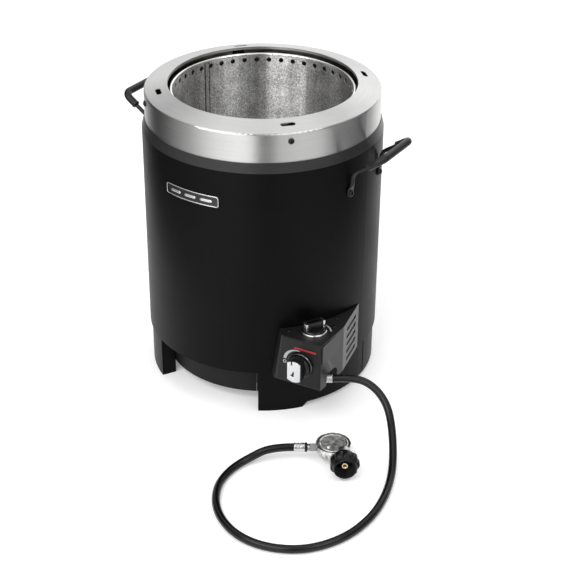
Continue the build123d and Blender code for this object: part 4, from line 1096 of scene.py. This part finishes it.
def add_knobs():
    """Gas knob with its bright notched face and the igniter knob with its bright caps."""
    link("gas_bezel", lathe("gas_bezel", bezel_profile(), 96, front(0.9)), DARK_CHROME, "root",
         ("knob_bezel",))
    skirt = lathe("skirt", eased(profile(
        (4.1, 6.8), (19.4, 6.8), (20, 7.4), (20, 9.6), (18.8, 11.8), (16.2, 12.6), (4.1, 12.6)
    ), 0.7 * MM, 4), 96, front(0))
    bar = plate("bar", eased(clipped_disc(19.9 * MM, 24 * MM), 0.9 * MM, 2), 17.0 * MM, 0.9 * MM,
                front(8.0))
    link("gas_knob_grip", joined("gas_knob_grip", [skirt, bar], 38), KNOB, "knob",
         ("control_knob",))
    face_r, left, right = 19.7, -5.1, -2.9
    disc = clipped_disc(face_r * MM, 23.6 * MM)
    kept = [p for p in disc if not (left * MM < p[0] < right * MM and p[1] > 0)]
    split = next(i for i, p in enumerate(kept) if p[1] > 0 and p[0] <= left * MM)
    notch = [(right, sqrt(face_r**2 - right**2)), (right, 12.6), (-3.4, 11.8), (-4.6, 11.8),
             (left, 12.6), (left, sqrt(face_r**2 - left**2))]
    face = kept[:split] + millimetres(notch) + kept[split:]
    wedge = millimetres([(-6.4, -8.2), (0.2, -10.2), (0.8, 0.6), (-1.4, 0.2), (-2.6, -4.4)])
    cap = plate("face", face, 2.3 * MM, 0.5 * MM, front(24.7), [eased(wedge, 0.4 * MM, 2)[::-1]])
    link("gas_knob_face", cap, SATIN_CHROME, "knob", ("knob_face",))
    under = plate("under", eased(millimetres(box_outline(9.4, 13.4, (-3, -4.8))), 1 * MM, 3),
                  0.5 * MM, 0.1 * MM, front(24.9))
    link("face_inlay", under, KNOB, "knob")

    ring = [(r * 22 / 23, h * 0.84) for r, h in bezel_profile()]
    link("igniter_ring", lathe("igniter_ring", ring, 96, igniter(0.05)), CHROME, "root",
         ("igniter_bezel",))
    skirt = lathe("skirt", eased(profile(
        (5.1, 2.6), (18.5, 2.6), (19, 3.2), (19, 4.8), (17.6, 6.6), (15.5, 7.2), (5.1, 7.2)
    ), 0.6 * MM, 4), 96, igniter(0))
    grip = plate("grip", eased(millimetres(box_outline(28, 13)), 0.8 * MM, 3), 15.8 * MM, 0.8 * MM,
                 igniter(4.2))
    ridge = plate("ridge", eased(millimetres(box_outline(20, 4.5)), 0.8 * MM, 3), 1.4 * MM, 0.5 * MM,
                  igniter(18.6))
    link("igniter_grip", joined("igniter_grip", [skirt, grip, ridge], 38), KNOB, "igniter",
         ("igniter_knob",))
    caps = []
    for side in (-1, 1):
        end = millimetres([(side * 14.1, -6.4), (side * 17.9, -6.2), (side * 18.7, 0),
                           (side * 17.9, 6.2), (side * 14.1, 6.4)])
        caps.append(plate("cap", eased(end, 0.7 * MM, 3), 13.2 * MM, 0.5 * MM, igniter(6.6)))
    link("igniter_end_caps", joined("igniter_end_caps", caps, 38), SATIN_CHROME, "igniter",
         ("igniter_caps",))


add_knobs()


# ---- Studio -------------------------------------------------------------------------------
def area_light(name, location, target, size, power, shade=(1, 1, 1)):
    """A rectangular lamp turned towards a point."""
    data = bpy.data.lights.new(name, "AREA")
    data.shape = "RECTANGLE"
    data.size, data.size_y = size
    data.energy = power
    data.color = shade
    lamp = bpy.data.objects.new(name, data)
    lamp.location = location
    toward = Vector(target) - Vector(location)
    lamp.rotation_euler = toward.to_track_quat("-Z", "Y").to_euler()
    scene.collection.objects.link(lamp)


# Brightness of the softboxes and the gaps between them, by direction round the drum in degrees.
SOFTBOXES = (
    (-180, 0.05), (-165, 0.12), (-147, 0.40), (-131, 0.62), (-114, 1.15), (-99, 1.5), (-79, 1.9),
    (-67, 1.7), (-61, 0.2), (-51, 0.15), (-42, 0.9), (-20, 1.0), (1, 0.95), (14, 0.35),
    (38, 0.35), (52, 0.05), (72, 0.9), (95, 1.9), (130, 1.3), (155, 0.5), (172, 0.05), (180, 0.05),
)
CEILING, BACKGROUND = 0.86, 1.0


def add_sky():
    """A dim studio with tall softboxes round the drum and a bright ceiling."""
    world = bpy.data.worlds.new("studio")
    scene.world = world
    world.use_nodes = True
    n = Nodes(world.node_tree)
    sky = world.node_tree.nodes["Background"]
    x, y, z = n.split(world.node_tree.nodes.new("ShaderNodeTexCoord").outputs["Generated"])
    turn = n.spread(n.math("ARCTAN2", y, x), -pi, pi, 0.0, 1.0)
    brightest = max(level for _, level in SOFTBOXES)
    round_about = n.ramp(turn, *(
        ((angle + 180) / 360, grey(level / brightest)) for angle, level in SOFTBOXES
    ))
    height = n.spread(z, 0.55, 0.85, 0.0, 1.0)
    light = n.blend(height, round_about, (*grey(CEILING / brightest), 1.0))
    seen = world.node_tree.nodes.new("ShaderNodeLightPath").outputs["Is Camera Ray"]
    n.put(sky.inputs[0], n.blend(seen, light, (*grey(BACKGROUND / brightest), 1.0)))
    sky.inputs[1].default_value = brightest


def add_studio():
    """A light table no larger than the view, so that the steel mirrors the softboxes; and lamps."""
    bm = bmesh.new()
    to_right = Vector((cos(VIEW_TURN), sin(VIEW_TURN), 0))
    away = Vector((-sin(VIEW_TURN), cos(VIEW_TURN), 0))
    for right, ahead in ((-0.47, -0.74), (0.53, -0.74), (1.12, 2.3), (-0.98, 2.3)):
        bm.verts.new(to_right * right + away * ahead)
    bm.faces.new(bm.verts)
    floor = bpy.data.objects.new("studio_floor", mesh_of(bm, "studio_floor"))
    floor.data.materials.append(FLOOR)
    scene.collection.objects.link(floor)
    add_sky()
    area_light("top", (-0.5, 0.5, 3.4), (0, 0, 0.3), (3.0, 3.0), 18)
    area_light("left_window", (-0.185, -2.11, 2.5), (0, 0, 0.5), (2.4, 1.2), 38)
    area_light("right_window", (2.09, -0.33, 2.5), (0, 0, 0.5), (1.3, 1.2), 16)
    scene.view_settings.view_transform = "Standard"
    scene.view_settings.exposure = 0.0


add_studio()
